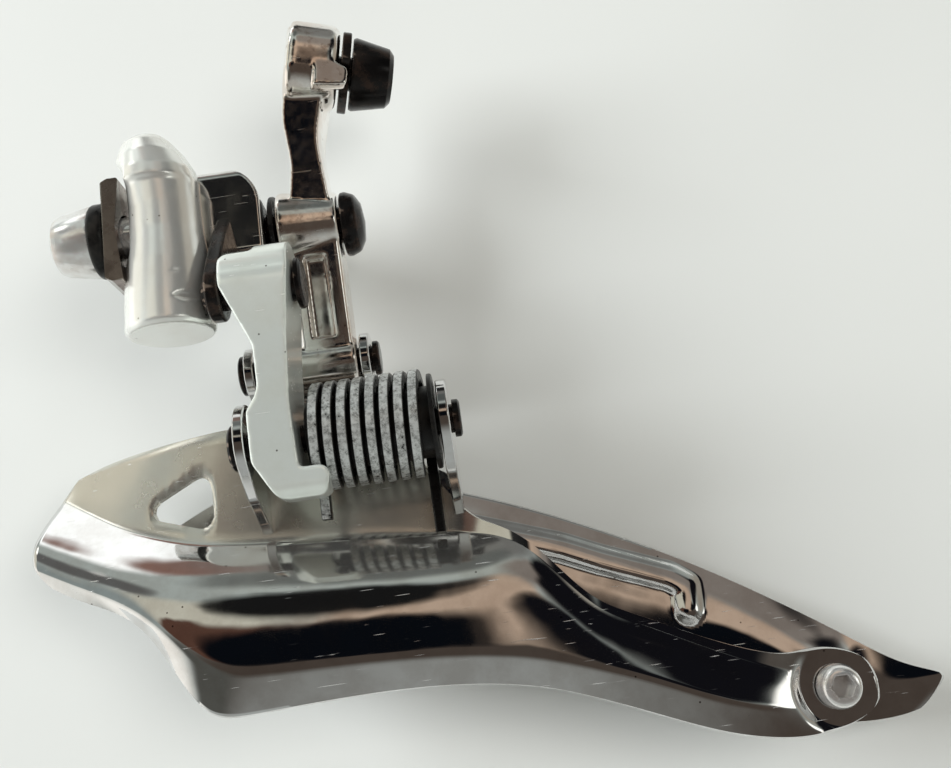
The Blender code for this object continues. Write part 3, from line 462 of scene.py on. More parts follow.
class Nodes(Tree):
    """A material with one shader, drawn in the row frame's metres."""

    def __init__(self, name, metallic, specular=0.5):
        self.material = bpy.data.materials.new(name)
        self.material.use_nodes = True
        super().__init__(self.material.node_tree)
        self.shader = self.tree.nodes["Principled BSDF"]
        self.shader.inputs["Metallic"].default_value = metallic
        self.shader.inputs["Specular IOR Level"].default_value = specular
        self.coords = self.tree.nodes.new("ShaderNodeTexCoord").outputs["Object"]

    def link(self, source, name):
        """Feed one input of the shader."""
        self.tree.links.new(source, self.shader.inputs[name])

    def stretch(self, scale, turn=(0, 0, 0)):
        """Coordinates scaled per axis, after a turn in degrees."""
        made = self.node("ShaderNodeMapping", {"Vector": self.coords, "Scale": scale})
        made.inputs["Rotation"].default_value = [math.radians(angle) for angle in turn]
        return made.outputs["Vector"]

    def noise(self, scale, detail=3.0, roughness=0.55, vector=None):
        """Cloudy noise around 0.5; scale counts its lumps per metre."""
        inputs = {"Vector": vector or self.coords, "Scale": scale, "Detail": detail, "Roughness": roughness}
        return self.node("ShaderNodeTexNoise", inputs).outputs["Fac"]

    def spots(self, scale, low, high):
        """1 on small round spots, 0 elsewhere."""
        made = self.node("ShaderNodeTexVoronoi", {"Vector": self.coords, "Scale": scale, "Randomness": 1.0})
        return self.span(made.outputs["Distance"], high, low)

    def math(self, operation, first, second):
        """One sum, product or comparison of two values."""
        return self.node("ShaderNodeMath", {0: first, 1: second}, operation=operation).outputs[0]

    def scratches(self, seed, density=0.5):
        """Sparse hair-thin lines in several directions."""
        total = None
        families = ((24, 8, 5200), (-38, 17, 6100), (71, 29, 4700))
        for index, (turn_y, turn_z, fine) in enumerate(families):
            vector = self.stretch((150 + 41 * index, 1500, fine), (seed, turn_y + seed * 3, turn_z))
            streaks = self.noise(1.0, 1.0, 0.4, vector)
            line = self.span(streaks, 0.765 - 0.03 * density, 0.80 - 0.03 * density)
            patch = self.span(self.noise(170 + 40 * index, 2.0), 0.45, 0.62)
            line = self.math("MULTIPLY", line, patch)
            total = line if total is None else self.math("MAXIMUM", total, line)
        return total

    def bump(self, height, strength, distance_mm, normal=None):
        """Relief from a height, laid over another relief if one is given."""
        inputs = {"Height": height, "Strength": strength, "Distance": distance_mm * MM}
        if normal is not None:
            inputs["Normal"] = normal
        return self.node("ShaderNodeBump", inputs).outputs["Normal"]

    def wear(self, low, high):
        """1 on convex edges, 0 on flats."""
        return self.span(self.node("ShaderNodeNewGeometry").outputs["Pointiness"], low, high)

    def mark(self, name):
        """The value that a piece's own mesh attribute holds."""
        return self.node("ShaderNodeAttribute", attribute_name=name).outputs["Fac"]

    def rubbed(self, value, scratches, amount):
        """A value, but at least this amount on the scratches."""
        return self.math("MAXIMUM", value, self.math("MULTIPLY", scratches, amount))

    def pitted(self, pits, scale, strength, depth_mm):
        """Fine grain with small pits sunk into it."""
        grain = self.bump(self.noise(scale, 3.0, 0.5), strength, depth_mm)
        return self.bump(pits, -0.6, 0.03, grain)

    def finish(self, tone, rough, relief):
        """Feed the shader and return the material."""
        self.link(tone, "Base Color")
        self.link(rough, "Roughness")
        self.link(relief, "Normal")
        return self.material


def chromed_steel():
    """Chrome with a pressed sheet's slow waves, hairline scratches and haze; satin where it's marked, and
    tinted beige there as a painted reflection.
    """
    n = Nodes("chromed_steel", 1.0)
    haze = n.noise(260, 4.0, 0.6)
    scratches = n.scratches(3, 0.7)
    satin_and_beige_reflection = n.mark("satin_and_beige_reflection")
    tone = n.mix(n.span(haze, 0.35, 0.7), (0.76, 0.76, 0.76), (0.66, 0.645, 0.635))
    # beige tint on the marked wall and shelf: a painted reflection, not the chrome's own colour
    tone = n.mix(n.math("MULTIPLY", satin_and_beige_reflection, 0.7), tone, (0.66, 0.63, 0.54))
    tone = n.mix(scratches, tone, (0.86, 0.86, 0.86))
    tone = n.mix(n.spots(420, 0.035, 0.06), tone, (0.16, 0.14, 0.13))
    soft = n.math("MULTIPLY", satin_and_beige_reflection, n.span(haze, 0.3, 0.7, 0.20, 0.28))
    rough = n.math("MAXIMUM", n.span(haze, 0.3, 0.75, 0.025, 0.08), soft)
    dull = n.rubbed(n.math("MULTIPLY", satin_and_beige_reflection, 0.12), scratches, 0.3)
    n.link(n.math("SUBTRACT", 1.0, dull), "Metallic")
    waves = n.bump(n.noise(120, 2.0, 0.4), 0.5, 0.15)
    return n.finish(tone, n.rubbed(rough, scratches, 0.3), n.bump(scratches, 0.25, 0.01, waves))


def polished_alloy():
    """Polished aluminium: soft mirror, fine rub marks, small pits, brighter edges."""
    n = Nodes("polished_alloy", 1.0)
    cloud = n.noise(310, 5.0, 0.6)
    scratches = n.scratches(11, 0.9)
    pits = n.spots(620, 0.045, 0.08)
    tone = n.mix(n.span(cloud, 0.35, 0.68), (0.90, 0.90, 0.89), (0.77, 0.75, 0.72))
    tone = n.mix(n.wear(0.52, 0.62), tone, (0.97, 0.97, 0.97))
    tone = n.mix(pits, tone, (0.20, 0.18, 0.17))
    rough = n.rubbed(n.span(cloud, 0.3, 0.72, 0.06, 0.15), scratches, 0.45)
    return n.finish(tone, rough, n.bump(scratches, -0.3, 0.012, n.pitted(pits, 900, 0.25, 0.01)))


def satin_alloy():
    """The same alloy left satin on the column: pale, soft-shaded, with small dents."""
    n = Nodes("satin_alloy", 0.7)
    cloud = n.noise(210, 5.0, 0.6)
    pits = n.spots(460, 0.04, 0.07)
    tone = n.mix(n.span(cloud, 0.32, 0.7), (0.94, 0.95, 0.92), (0.90, 0.89, 0.85))
    tone = n.mix(n.scratches(41, 0.6), tone, (0.92, 0.92, 0.90))
    tone = n.mix(pits, tone, (0.28, 0.24, 0.21))
    return n.finish(tone, n.span(cloud, 0.3, 0.72, 0.20, 0.27), n.pitted(pits, 1300, 0.3, 0.008))


def worn_alloy():
    """Polished alloy gone brownish-rose in patches with handling."""
    n = Nodes("worn_alloy", 1.0)
    cloud = n.noise(190, 4.0, 0.6)
    fine = n.noise(900, 4.0, 0.6)
    pits = n.spots(560, 0.045, 0.08)
    tone = n.mix(n.span(cloud, 0.38, 0.62), (0.95, 0.93, 0.90), (0.82, 0.74, 0.68))
    tone = n.mix(n.span(fine, 0.55, 0.8), tone, (0.55, 0.46, 0.41))
    tone = n.mix(pits, tone, (0.14, 0.10, 0.09))
    rough = n.rubbed(n.span(fine, 0.3, 0.72, 0.08, 0.18), n.scratches(53, 0.9), 0.45)
    return n.finish(tone, rough, n.pitted(pits, 1000, 0.25, 0.01))


def pale_alloy():
    """Satin silver-anodised alloy, a little green-white, with tiny pits."""
    n = Nodes("pale_alloy", 0.5)
    cloud = n.noise(240, 5.0, 0.62)
    scratches = n.scratches(23, 0.8)
    pits = n.spots(520, 0.04, 0.07)
    tone = n.mix(n.span(cloud, 0.35, 0.7), (0.86, 0.91, 0.87), (0.80, 0.84, 0.79))
    tone = n.mix(scratches, tone, (0.92, 0.93, 0.92))
    tone = n.mix(pits, tone, (0.16, 0.15, 0.14))
    rough = n.rubbed(n.span(cloud, 0.3, 0.72, 0.15, 0.25), scratches, 0.5)
    return n.finish(tone, rough, n.pitted(pits, 1400, 0.3, 0.008))


def bolt_steel():
    """Turned steel fittings: fine rings of tooling, dull patches, bright edges."""
    n = Nodes("bolt_steel", 0.8)
    cloud = n.noise(420, 5.0, 0.65)
    scratches = n.scratches(37, 1.2)
    tone = n.mix(n.span(cloud, 0.38, 0.68), (0.84, 0.84, 0.83), (0.68, 0.63, 0.60))
    tone = n.mix(n.wear(0.51, 0.58), tone, (0.85, 0.85, 0.84))
    rough = n.rubbed(n.span(cloud, 0.3, 0.72, 0.12, 0.28), scratches, 0.4)
    inputs = {"Vector": n.coords, "Scale": 1400.0, "Distortion": 1.5, "Detail": 2.0}
    rings = n.node("ShaderNodeTexWave", inputs, wave_type="BANDS", bands_direction="X").outputs["Fac"]
    return n.finish(tone, rough, n.bump(scratches, -0.4, 0.015, n.bump(rings, 0.12, 0.006)))


def dark_steel():
    """Browned steel washer, polished by handling on its rims."""
    n = Nodes("dark_steel", 1.0)
    cloud = n.noise(360, 5.0, 0.65)
    tone = n.mix(n.span(cloud, 0.38, 0.68), (0.26, 0.21, 0.19), (0.12, 0.085, 0.07))
    tone = n.mix(n.wear(0.51, 0.57), tone, (0.5, 0.48, 0.46))
    return n.finish(tone, n.span(cloud, 0.3, 0.72, 0.16, 0.36), n.bump(n.noise(1800, 3.0), 0.3, 0.01))


def black_oxide():
    """Blacked steel worn brown and bright along the edges."""
    n = Nodes("black_oxide", 0.7, specular=0.25)
    cloud = n.noise(480, 5.0, 0.65)
    tone = n.mix(n.span(cloud, 0.45, 0.7), (0.015, 0.014, 0.014), (0.05, 0.032, 0.025))
    tone = n.mix(n.wear(0.53, 0.60), tone, (0.22, 0.17, 0.14))
    return n.finish(tone, n.span(cloud, 0.3, 0.72, 0.16, 0.34), n.bump(n.noise(2200, 3.0), 0.35, 0.01))


def black_polymer():
    """Black plastic rings and bush, a little greasy."""
    n = Nodes("black_polymer", 0.0, specular=0.3)
    cloud = n.noise(700, 5.0, 0.6)
    tone = n.mix(n.span(cloud, 0.4, 0.7), (0.006, 0.006, 0.006), (0.02, 0.018, 0.016))
    return n.finish(tone, n.span(cloud, 0.3, 0.7, 0.22, 0.5), n.bump(n.noise(2600, 3.0), 0.3, 0.01))


def spring_steel():
    """Flat wire: worn silver on the outside of the coils, black on the faces between and inside them."""
    n = Nodes("spring_steel", 0.5)
    flakes = n.noise(1300, 5.0, 0.7)
    worn = n.math("MULTIPLY", n.span(n.mark("outside"), 0.5, 1.0), n.span(flakes, 0.33, 0.40))
    silver = n.mix(n.span(flakes, 0.42, 0.62), (0.34, 0.35, 0.34), (0.62, 0.64, 0.63))
    tone = n.mix(worn, (0.008, 0.008, 0.008), silver)
    return n.finish(tone, n.span(flakes, 0.3, 0.7, 0.20, 0.42), n.bump(flakes, 0.5, 0.03))


MAKERS = {maker.__name__: maker for maker in (
    chromed_steel, polished_alloy, pale_alloy, satin_alloy, worn_alloy, bolt_steel, dark_steel, black_oxide,
    black_polymer, spring_steel)}
MADE = {}


def finish_material(name):
    """Return a finish's material, made once and named apart from the CAD frame's own materials."""
    if name not in MADE:
        MADE[name] = MAKERS[name]()
        MADE[name].name = f"{name}_finish"
    return MADE[name]


# ------------------------------------------------------------ mounting body

def column_shape(steps):
    """Leaning, waisted column with a domed top and a flat foot."""
    bm = bmesh.new()
    rings = []
    for z, centre_x, radius in COLUMN:
        circle = arc((centre_x, 0), radius, 0, 360 - 360 / steps, steps - 1)
        rings.append([bm.verts.new((*point, z)) for point in circle])
    for ring, other in zip(rings, rings[1:]):
        bridge(bm, ring, other)
    bm.faces.new(rings[0])
    bm.faces.new(rings[-1])
    return bm


def mounting_body():
    """Forged body: a satin waisted column and, behind it, the polished block and the lug, the lug painted
    black as painted shade.
    """
    column = new_object("body_column", column_shape(96))
    pad_side = [(-4, PAD_BOTTOM - 6), (PAD_X, PAD_BOTTOM), (PAD_X, PAD_TOP), (-4, PAD_TOP + 5)]
    pad = new_object("pad", prism(pad_side, "XZ", -8, 8))
    facet = new_object("facet", spiral_facet())
    combine(column, [pad, facet], "DIFFERENCE")
    forge(column, 0.15, 8)
    settle(column, "mount", "satin_alloy", "mounting_body", tools=[pad, facet])

    block_side = hull([(BLOCK_FRONT + 1.3, -2.4, 1.3), (BLOCK_FRONT + 1.3, 6.9, 1.3), (9.9, 1.7, 6.3),
                       (11.2, 4.2, 4.6)], 64)
    block_front = rounded([(4.0, -9, 0), (BLOCK_REAR, -9, 0), (BLOCK_REAR, 8.4, 5.2), (4.0, 8.7, 0)], 16)
    block = new_object("body_block", prism(block_side, "YZ", 4.0, BLOCK_REAR))
    block_cut = new_object("block_cut", prism(block_front, "XZ", 0, 20))
    combine(block, [block_cut], "INTERSECT")
    bevel(block, 0.8, 4, 30)
    forge(block, 0.16, 6)
    settle(block, "mount", "polished_alloy", tools=[block_cut])

    lug_side = hull([(*INNER_UPPER, 3.2), (1.4, -4.0, 3.2), (6.0, 0.0, 3.4)], 64)
    # the lug belongs to the same alloy forging; its black finish is painted shade
    lug = new_object("body_lug", prism(lug_side, "YZ", LUG_FRONT + 0.9, LUG_REAR))
    settle(lug, "mount", "black_oxide", edge=(0.4,))


def spiral_facet():
    """A slab whose near side shaves a twisted flat off the column's lower rear flank."""
    bm = bmesh.new()
    rings = []
    sections = ((-4.0, 8, 5.2), (-7.0, 24, 4.8), (-10.0, 40, 4.6), (-13.6, 56, 4.55))
    for z, turn_degrees, offset in sections:
        angle = math.radians(turn_degrees)
        out = Vector((math.sin(angle), -math.cos(angle)))
        along = Vector((out.y, -out.x))
        middle = Vector((3.5, 0))
        corners = [out * offset + along * 9, out * (offset + 6) + along * 9,
                   out * (offset + 6) - along * 9, out * offset - along * 9]
        rings.append([bm.verts.new((*(middle + corner), z)) for corner in corners])
    for ring, other in zip(rings, rings[1:]):
        bridge(bm, ring, other)
    bm.faces.new(rings[0])
    bm.faces.new(rings[-1])
    return bm


def limit_screw(name, x):
    """Small slotted stop screw in the drive-side face of the body."""
    profile = [(11.3, 0), (11.3, 1.2), (16.3, 1.2), (16.3, 1.7), (17.4, 1.7), (17.7, 1.4), (17.7, 0)]
    screw = new_object(f"{name}_seen", lathe(profile, (x, 6.9), "Y", 64))
    outline = [(x - 3, 6.6), (x + 3, 6.6), (x + 3, 7.2), (x - 3, 7.2)]
    slot = new_object("slot", prism(outline, "XZ", 17.1, 19))
    combine(screw, [slot], "DIFFERENCE")
    settle(screw, "mount", "bolt_steel", name, edge=(0.08, 2), tools=[slot])


def mounting_hardware():
    """Saddle washer pressed up to the pad, and the mounting bolt with a black ring that fills the gap under
    its head.
    """
    side = rounded([(-2.7, -6.6, 0.3), (-1.9, -7.0, 0.3), (-0.6, -7.0, 0.3), (-1.3, -0.5, 9.0),
                    (-0.6, 5.6, 0.3), (-1.9, 5.6, 0.3), (-2.7, 5.2, 0.3)], 8)
    washer = new_object("saddle_washer_seen", prism(side, "XZ", -3.9, 3.9))
    hole = new_object("washer_hole", lathe([(-8, 0), (-8, 2.8), (2, 2.8), (2, 0)], BOLT_SEEN))
    combine(washer, [hole], "DIFFERENCE")
    settle(washer, "mount", "dark_steel", "saddle_washer", edge=(0.35, 4), tools=[hole])

    profile = [(-9.3, 0), (-9.3, 2.7), (-9.0, 3.3), (-8.3, 3.6), (-4.7, 4.3), (-4.4, 4.25), (-4.4, 2.5),
               (BOLT_END - 0.4, 2.5), (BOLT_END, 2.1), (BOLT_END, 0)]
    bolt = new_object("mount_bolt_seen", lathe(profile, BOLT_SEEN, "X", 96))
    socket = hex_socket(BOLT_SEEN, 1.9, -12, -6.6)
    combine(bolt, [socket], "DIFFERENCE")
    settle(bolt, "mount", "bolt_steel", "mount_bolt", edge=(0.25,), tools=[socket])
    # a black ring fills the gap between the bolt's head and the washer
    ring = [(-4.6, 2.4), (-4.6, 4.25), (-4.3, 4.45), (-3.2, 4.45), (-2.8, 4.2), (-2.6, 2.4)]
    undercut = new_object("bolt_undercut", lathe(ring, BOLT_SEEN, "X", 96, hollow=True))
    settle(undercut, "mount", "black_polymer", edge=(0.15,))


def hex_socket(centre, radius, low, high, axis="X"):
    """A six-sided plug that cuts a hex key's socket."""
    profile = [(low, 0), (low, radius), (high, radius), (high, 0)]
    return new_object("socket", lathe(profile, centre, axis, 6))


def pivot_hardware():
    """Outer pivot bolt with its thrust washer, and the inner pivot pin."""
    bolt = [(5.5, 0), (5.5, 1.8), (6.0, 2.3), (23.4, 2.3), (23.4, 4.0), (24.1, 4.05), (25.2, 3.6),
            (25.9, 2.4), (26.2, 0)]
    turned("outer_pivot_bolt_seen", bolt, OUTER_UPPER, "mount", "black_oxide", "outer_pivot_bolt",
           edge=0.25)
    ring = [(14.6, 2.6), (14.6, 4.6), (14.7, 4.7), (15.1, 4.7), (15.2, 4.6), (15.2, 2.6)]
    washer = new_object("thrust_washer_seen", lathe(ring, OUTER_UPPER, "X", 96, hollow=True))
    settle(washer, "mount", "black_polymer", "thrust_washer")
    pin = [(8.3, 0), (8.3, 1.6), (8.7, 2.0), (18.9, 2.0), (18.9, 2.9), (19.4, 2.9), (19.7, 2.5), (19.7, 0)]
    turned("inner_pivot_pin_seen", pin, INNER_UPPER, "mount", "black_oxide", "inner_pivot_pin")


# ------------------------------------------------------------ links

def tilt_anchor(bm):
    """Lean a shape drawn about the anchor so that it follows the cable's pull."""
    lean = Matrix.Rotation(ANCHOR_TURN, 3, "Z") @ Matrix.Rotation(ANCHOR_TILT, 3, "Y")
    bmesh.ops.rotate(bm, cent=ANCHOR, matrix=lean, verts=bm.verts)
    return bm


def outer_link():
    """Outer link: pivot barrel, cable arm and head above, web and lower barrel below."""
    front, rear = OUTER_BARREL
    barrel = [(front, 0), (front, 4.7), (front + 0.4, 5.0), (19.5, 4.6), (rear - 0.3, 4.2), (rear, 3.9),
              (rear, 0)]
    link = new_object("outer_link_forging", lathe(barrel, OUTER_UPPER, "X", 64))
    front, rear = OUTER_FOOT
    foot = [(front, 0), (front, 2.9), (front + 0.3, 3.15), (rear - 0.4, 3.15), (rear, 2.8), (rear, 0)]
    lower = new_object("foot", lathe(foot, OUTER_LOWER, "X", 64))
    web = new_object("web", prism(hull([(*OUTER_UPPER, 3.6), (*OUTER_LOWER, 2.6)], 48), "YZ", 16.6, 23.0))
    bevel(web, 0.6, 3, 40)
    panel_side = [(2, -3.0), (8.0, -3.0), (9.9, -13.0), (2, -13.0)]
    panel = new_object("panel", prism(panel_side, "YZ", 18.3, 20.9))
    arm, arm_cut = cable_arm()
    head, nub, notch = arm_head()
    combine(link, [lower, web, arm, head, nub], "UNION")
    combine(link, [panel, notch], "DIFFERENCE")
    forge(link, 0.14, 22)
    settle(link, "outer_arm", "worn_alloy", "outer_link",
           tools=[lower, web, panel, arm, arm_cut, head, nub, notch])


def cable_arm():
    """Waisted arm between the barrel and the head, and the piece that trims its sides."""
    outline = rounded([(17.3, -2, 0), (23.0, -2, 0), (22.4, 4.5, 3), (21.9, 11.5, 12), (23.6, 17.5, 3),
                       (23.6, 20.5, 0), (19.2, 20.5, 0), (17.8, 14.5, 12), (18.2, 8.5, 10),
                       (17.3, 3.5, 3)], 8)
    arm = new_object("arm", prism(outline, "XZ", -2, 20))
    side = hull([(*OUTER_UPPER, 3.4), (ANCHOR.y, ANCHOR.z, 2.9)], 48)
    cut = new_object("arm_cut", prism(side, "YZ", 14, 30))
    combine(arm, [cut], "INTERSECT")
    bevel(arm, 1.1, 2, 40)
    return arm, cut


def arm_head():
    """Head of the arm, the nub on its near face, and the notch cut into its top."""
    x, y, z = ANCHOR
    outline = hull([(y, z + 1.2, 4.7), (y, z - 0.8, 4.4)], 48)
    head = new_object("head", tilt_anchor(prism(outline, "YZ", x + HEAD_FRONT, x + HEAD_REAR)))
    bevel(head, 1.2, 4, 40)
    outline = rounded([(x, z - 4.6, 0.3), (x + 4.2, z - 4.0, 0.7), (x + 4.2, z - 1.6, 0.7), (x, z, 0.3)], 6)
    nub = new_object("nub", tilt_anchor(prism(outline, "XZ", y - 4.4, y - 2.9)))
    outline = [(x - 4, z + 3.4), (x - 2.7, z + 4.2), (x - 4, z + 6.0)]
    notch = new_object("notch", tilt_anchor(prism(outline, "XZ", -4, 14)))
    return head, nub, notch


def cable_clamp():
    """Washer and bolt that clamp the shift cable to the arm's head."""
    x, y, z = ANCHOR
    face = x + HEAD_REAR
    axis = (y, z)
    outline = rounded([(y - 2.6, z - 4.2, 1.5), (y + 4.4, z - 4.2, 2.2), (y + 4.4, z + 4.2, 2.2),
                       (y - 4.4, z + 4.2, 2.2), (y - 4.4, z - 1.0, 1.0), (y - 2.6, z - 1.0, 0)], 8)
    washer = new_object("cable_washer_seen", tilt_anchor(prism(outline, "YZ", face + GAP, face + 1.4)))
    settle(washer, "outer_arm", "black_oxide", "cable_washer", edge=(0.15,))
    seat = face + 1.4 + GAP
    profile = [(x - 3.0, 0), (x - 3.0, 1.8), (x - 2.7, 2.1), (seat, 2.1), (seat, 4.4),
               (seat + 0.4, 4.55), (seat + 4.6, 3.7), (seat + 5.2, 3.0), (seat + 5.2, 0)]
    bolt = new_object("cable_bolt_seen", tilt_anchor(lathe(profile, axis, "X", 96)))
    socket_shape = lathe([(seat + 2.6, 0), (seat + 2.6, 2.2), (seat + 8, 2.2), (seat + 8, 0)], axis, "X", 6)
    socket = new_object("socket", tilt_anchor(socket_shape))
    combine(bolt, [socket], "DIFFERENCE")
    settle(bolt, "outer_arm", "black_oxide", "cable_bolt", edge=(0.2,), tools=[socket])


def inner_link():
    """Inner link: an L seen from the side, with a foot that holds the spring's leg."""
    front = rounded([(INNER_BARREL[0], -7.0, 1.2), (INNER_BARREL[0], -11.0, 3.0), (14.0, -18.0, 4.0),
                     (14.0, -23.0, 3.0), (12.5, -25.2, 1.5), (12.5, -30.6, 2.5), (15.0, -34.9, 2.0),
                     (20.2, -34.9, 1.1), (21.0, -31.7, 1.1), (17.6, -31.7, 0.5), (17.3, -24.5, 4.0),
                     (17.7, -17.5, 4.0), (INNER_BARREL[1], -9.5, 3.0), (INNER_BARREL[1], -4.0, 1.4),
                     (14.9, -4.0, 0.6), (14.6, -7.0, 0.6)], 8)
    link = new_object("inner_link_forging", prism(front, "XZ", -12, 8))
    side = hull([(*INNER_UPPER, 4.8), (INNER_LOWER.x, INNER_LOWER.y, 4.3), (-4.4, -33.0, 2.2)], 64)
    side_cut = new_object("side_cut", prism(side, "YZ", 5, 30))
    combine(link, [side_cut], "INTERSECT")
    coil_radius = SPRING_RADIUS + WIRE_DEPTH / 2 + GAP
    coil_profile = [(17.9, 0), (17.9, coil_radius), (30, coil_radius), (30, 0)]
    coil_room = new_object("coil_room", lathe(coil_profile, INNER_LOWER, "X", 64))
    combine(link, [coil_room], "DIFFERENCE")
    forge(link, 0.16, 8)
    settle(link, "inner_arm", "pale_alloy", "inner_link", tools=[side_cut, coil_room])


# ------------------------------------------------------------ cage

def smooth_net(name, rails, levels, creases=()):
    """A pressed sheet's middle surface, subdivided from rails of control points."""
    bm = bmesh.new()
    rows = [[bm.verts.new(point) for point in rail] for rail in rails]
    for row, below in zip(rows, rows[1:]):
        for index in range(len(row) - 1):
            bm.faces.new((row[index], row[index + 1], below[index + 1], below[index]))
    weight = bm.edges.layers.float.new("crease_edge")
    for rail_index, sharpness in creases:
        row = rows[rail_index]
        for start, end in zip(row, row[1:]):
            bm.edges.get((start, end))[weight] = sharpness
    obj = new_object(name, bm)
    smooth = obj.modifiers.new("smooth", "SUBSURF")
    smooth.levels = levels
    smooth.render_levels = levels
    apply_all(obj)
    obj.data.shade_smooth()
    return obj


def thicken(obj, rim_share=0.5):
    """Give a middle surface the sheet's thickness, thinner along every rim for a rounded lip."""
    bm = bmesh.new()
    bm.from_mesh(obj.data)
    bmesh.ops.recalc_face_normals(bm, faces=bm.faces)
    bm.to_mesh(obj.data)
    rim = [vert.index for vert in bm.verts if any(edge.is_boundary for edge in vert.link_edges)]
    bm.free()
    full = obj.vertex_groups.new(name="full")
    full.add(range(len(obj.data.vertices)), 1.0, "REPLACE")
    full.add(rim, rim_share, "REPLACE")
    step = obj.modifiers.new("thickness", "SOLIDIFY")
    step.thickness = SHEET * MM
    step.offset = 0.0
    step.use_even_offset = True
    step.vertex_group = "full"
    apply_all(obj)
    obj.data.shade_smooth()
    obj.data.set_sharp_from_angle(angle=math.radians(48))


def blend_step(distance, inner, outer):
    """0 inside the inner distance, 1 outside the outer one, smooth between."""
    share = min(1.0, max(0.0, (distance - inner) / (outer - inner)))
    return share * share * (3 - 2 * share)


def press_dish(obj, centre, floor_y, inner, outer):
    """Press a flat round seat into a sheet, as (x, z) centre and y of its floor."""
    for vert in obj.data.vertices:
        x, y, z = vert.co / MM
        share = blend_step(math.hypot(x - centre.x, z - centre.y), inner, outer)
        vert.co.y = (floor_y + (y - floor_y) * share) * MM


def nearest(point, path, closed=False):
    """The closest place to a point on a path of straight pieces."""
    ends = [Vector(corner) for corner in path]
    starts = [ends[-1]] + ends[:-1]
    best, found = 1e9, None
    for a, b in list(zip(starts, ends))[0 if closed else 1:]:
        share = min(1.0, max(0.0, (point - a).dot(b - a) / (b - a).length_squared))
        place = a + (b - a) * share
        if (place - point).length < best:
            best, found = (place - point).length, place
    return found


def press_rib(obj, path, height, inner, outer):
    """Raise a rounded rib along an (x, z) path, towards -Y."""
    for vert in obj.data.vertices:
        x, y, z = vert.co / MM
        here = Vector((x, z))
        share = blend_step((here - nearest(here, path)).length, inner, outer)
        vert.co.y = (y - height * (1 - share)) * MM


def ear(name, outline, span, axis):
    """One flat ear of a cage plate, with a hole for the pin on its axis."""
    made = new_object(name, prism(outline, "YZ", *span))
    hole = new_object("ear_hole", lathe([(5, 0), (5, 1.9), (40, 1.9), (40, 0)], axis, "X", 48))
    combine(made, [hole], "DIFFERENCE")
    settle(made, "cage", "chromed_steel", edge=(0.22, 3, 50), tools=[hole])


def inside(point, outline):
    """True where an (x, z) point lies inside a convex outline."""
    signs = [turn(outline[index - 1], outline[index], point) > 0 for index in range(len(outline))]
    return all(signs) or not any(signs)


def punch(obj, outline):
    """Open a hole in a middle surface: drop the faces inside, draw the rim onto the outline."""
    bm = bmesh.new()
    bm.from_mesh(obj.data)
    old_rim = {vert for vert in bm.verts if vert.is_boundary}
    flat = {vert: Vector((vert.co.x, vert.co.z)) / MM for vert in bm.verts}
    doomed = []
    for face in bm.faces:
        middle = sum((flat[vert] for vert in face.verts), Vector((0, 0))) / 4
        if inside(middle, outline):
            doomed.append(face)
    bmesh.ops.delete(bm, geom=doomed, context="FACES")

    def new_rim():
        return [vert for vert in bm.verts if vert.is_boundary and vert not in old_rim]

    for vert in new_rim():
        place = nearest(flat[vert], outline, closed=True)
        vert.co.x, vert.co.z = place.x * MM, place.y * MM
    bmesh.ops.remove_doubles(bm, verts=new_rim(), dist=0.12 * MM)
    rim = set(new_rim())
    beside = []
    for vert in bm.verts:
        if vert not in rim and any(edge.other_vert(vert) in rim for edge in vert.link_edges):
            beside.append(vert)
    for _ in range(4):
        bmesh.ops.smooth_vert(bm, verts=beside, factor=0.5, use_axis_x=True, use_axis_z=True)
    bm.to_mesh(obj.data)
    bm.free()


def mark_satin_and_beige_reflection(obj, crease, last_x):
    """Mark the sheet's duller places, which the chrome also tints with a painted beige reflection: the wall
    above a crease line and, less, the shelf below it.
    """
    layer = obj.data.attributes.new("satin_and_beige_reflection", "FLOAT", "POINT")
    for vert, mark in zip(obj.data.vertices, layer.data):
        x, y, z = vert.co / MM
        edge = crease[0][2]
        for start, end in zip(crease, crease[1:]):
            if start[0] <= x < end[0]:
                edge = start[2] + (end[2] - start[2]) * (x - start[0]) / (end[0] - start[0])
        wall = blend_step(z - edge, -0.2, 0.6) * (1 - blend_step(x, last_x - 5, last_x))
        shelf = blend_step(x, 2, 10) * blend_step(z - edge, -6.0, -4.5)
        shelf *= 1 - blend_step(x, last_x, last_x + 5)
        mark.value = max(wall, 0.45 * shelf)


def cage_inner_plate():
    """Inner cage plate: upper wall, sloping shelf, lower face, dished tail seat, two ears."""
    rails = [INNER_TOP, INNER_CREASE, INNER_RIDGE, INNER_LOWER_CREASE, INNER_BOTTOM]
    plate = smooth_net("inner_plate_sheet", rails, 4, ((1, 0.8), (3, 0.6)))
    press_dish(plate, TAIL, 6.1, 4.0, 5.4)
    punch(plate, hull([(-1.4, -31.9, 1.25), (3.3, -30.2, 1.5), (3.4, -33.3, 1.5)], 48))
    punch(plate, hull([(*TAIL, 1.8)], 32))
    thicken(plate)
    mark_satin_and_beige_reflection(plate, INNER_CREASE, 36)
    settle(plate, "cage", "chromed_steel", "cage_inner_plate")
    y, z = INNER_LOWER
    front = hull([(y, z + 0.3, 4.4), (y + 2.5, z - 3.4, 3.0), (WALL_Y, -26.6, 0.6),
                  (WALL_Y, -36.2, 0.6)], 48)
    rear = hull([(y, z, 4.5), (y + 1.0, z - 3.0, 3.6), (WALL_Y - 1.0, -32.5, 2.0),
                 (WALL_Y, -37.0, 0.6)], 48)
    ear("inner_ear_front", front, INNER_EARS[0], INNER_LOWER)
    ear("inner_ear_rear", rear, INNER_EARS[1], INNER_LOWER)
    outline = [(31.4, -37.5), (33.9, -37.5), (33.9, -33.4), (31.4, -31.6)]
    root = new_object("inner_ear_root", prism(outline, "XZ", WALL_Y - SHEET / 2, WALL_Y + SHEET / 2))
    settle(root, "cage", "chromed_steel", edge=(0.2,))


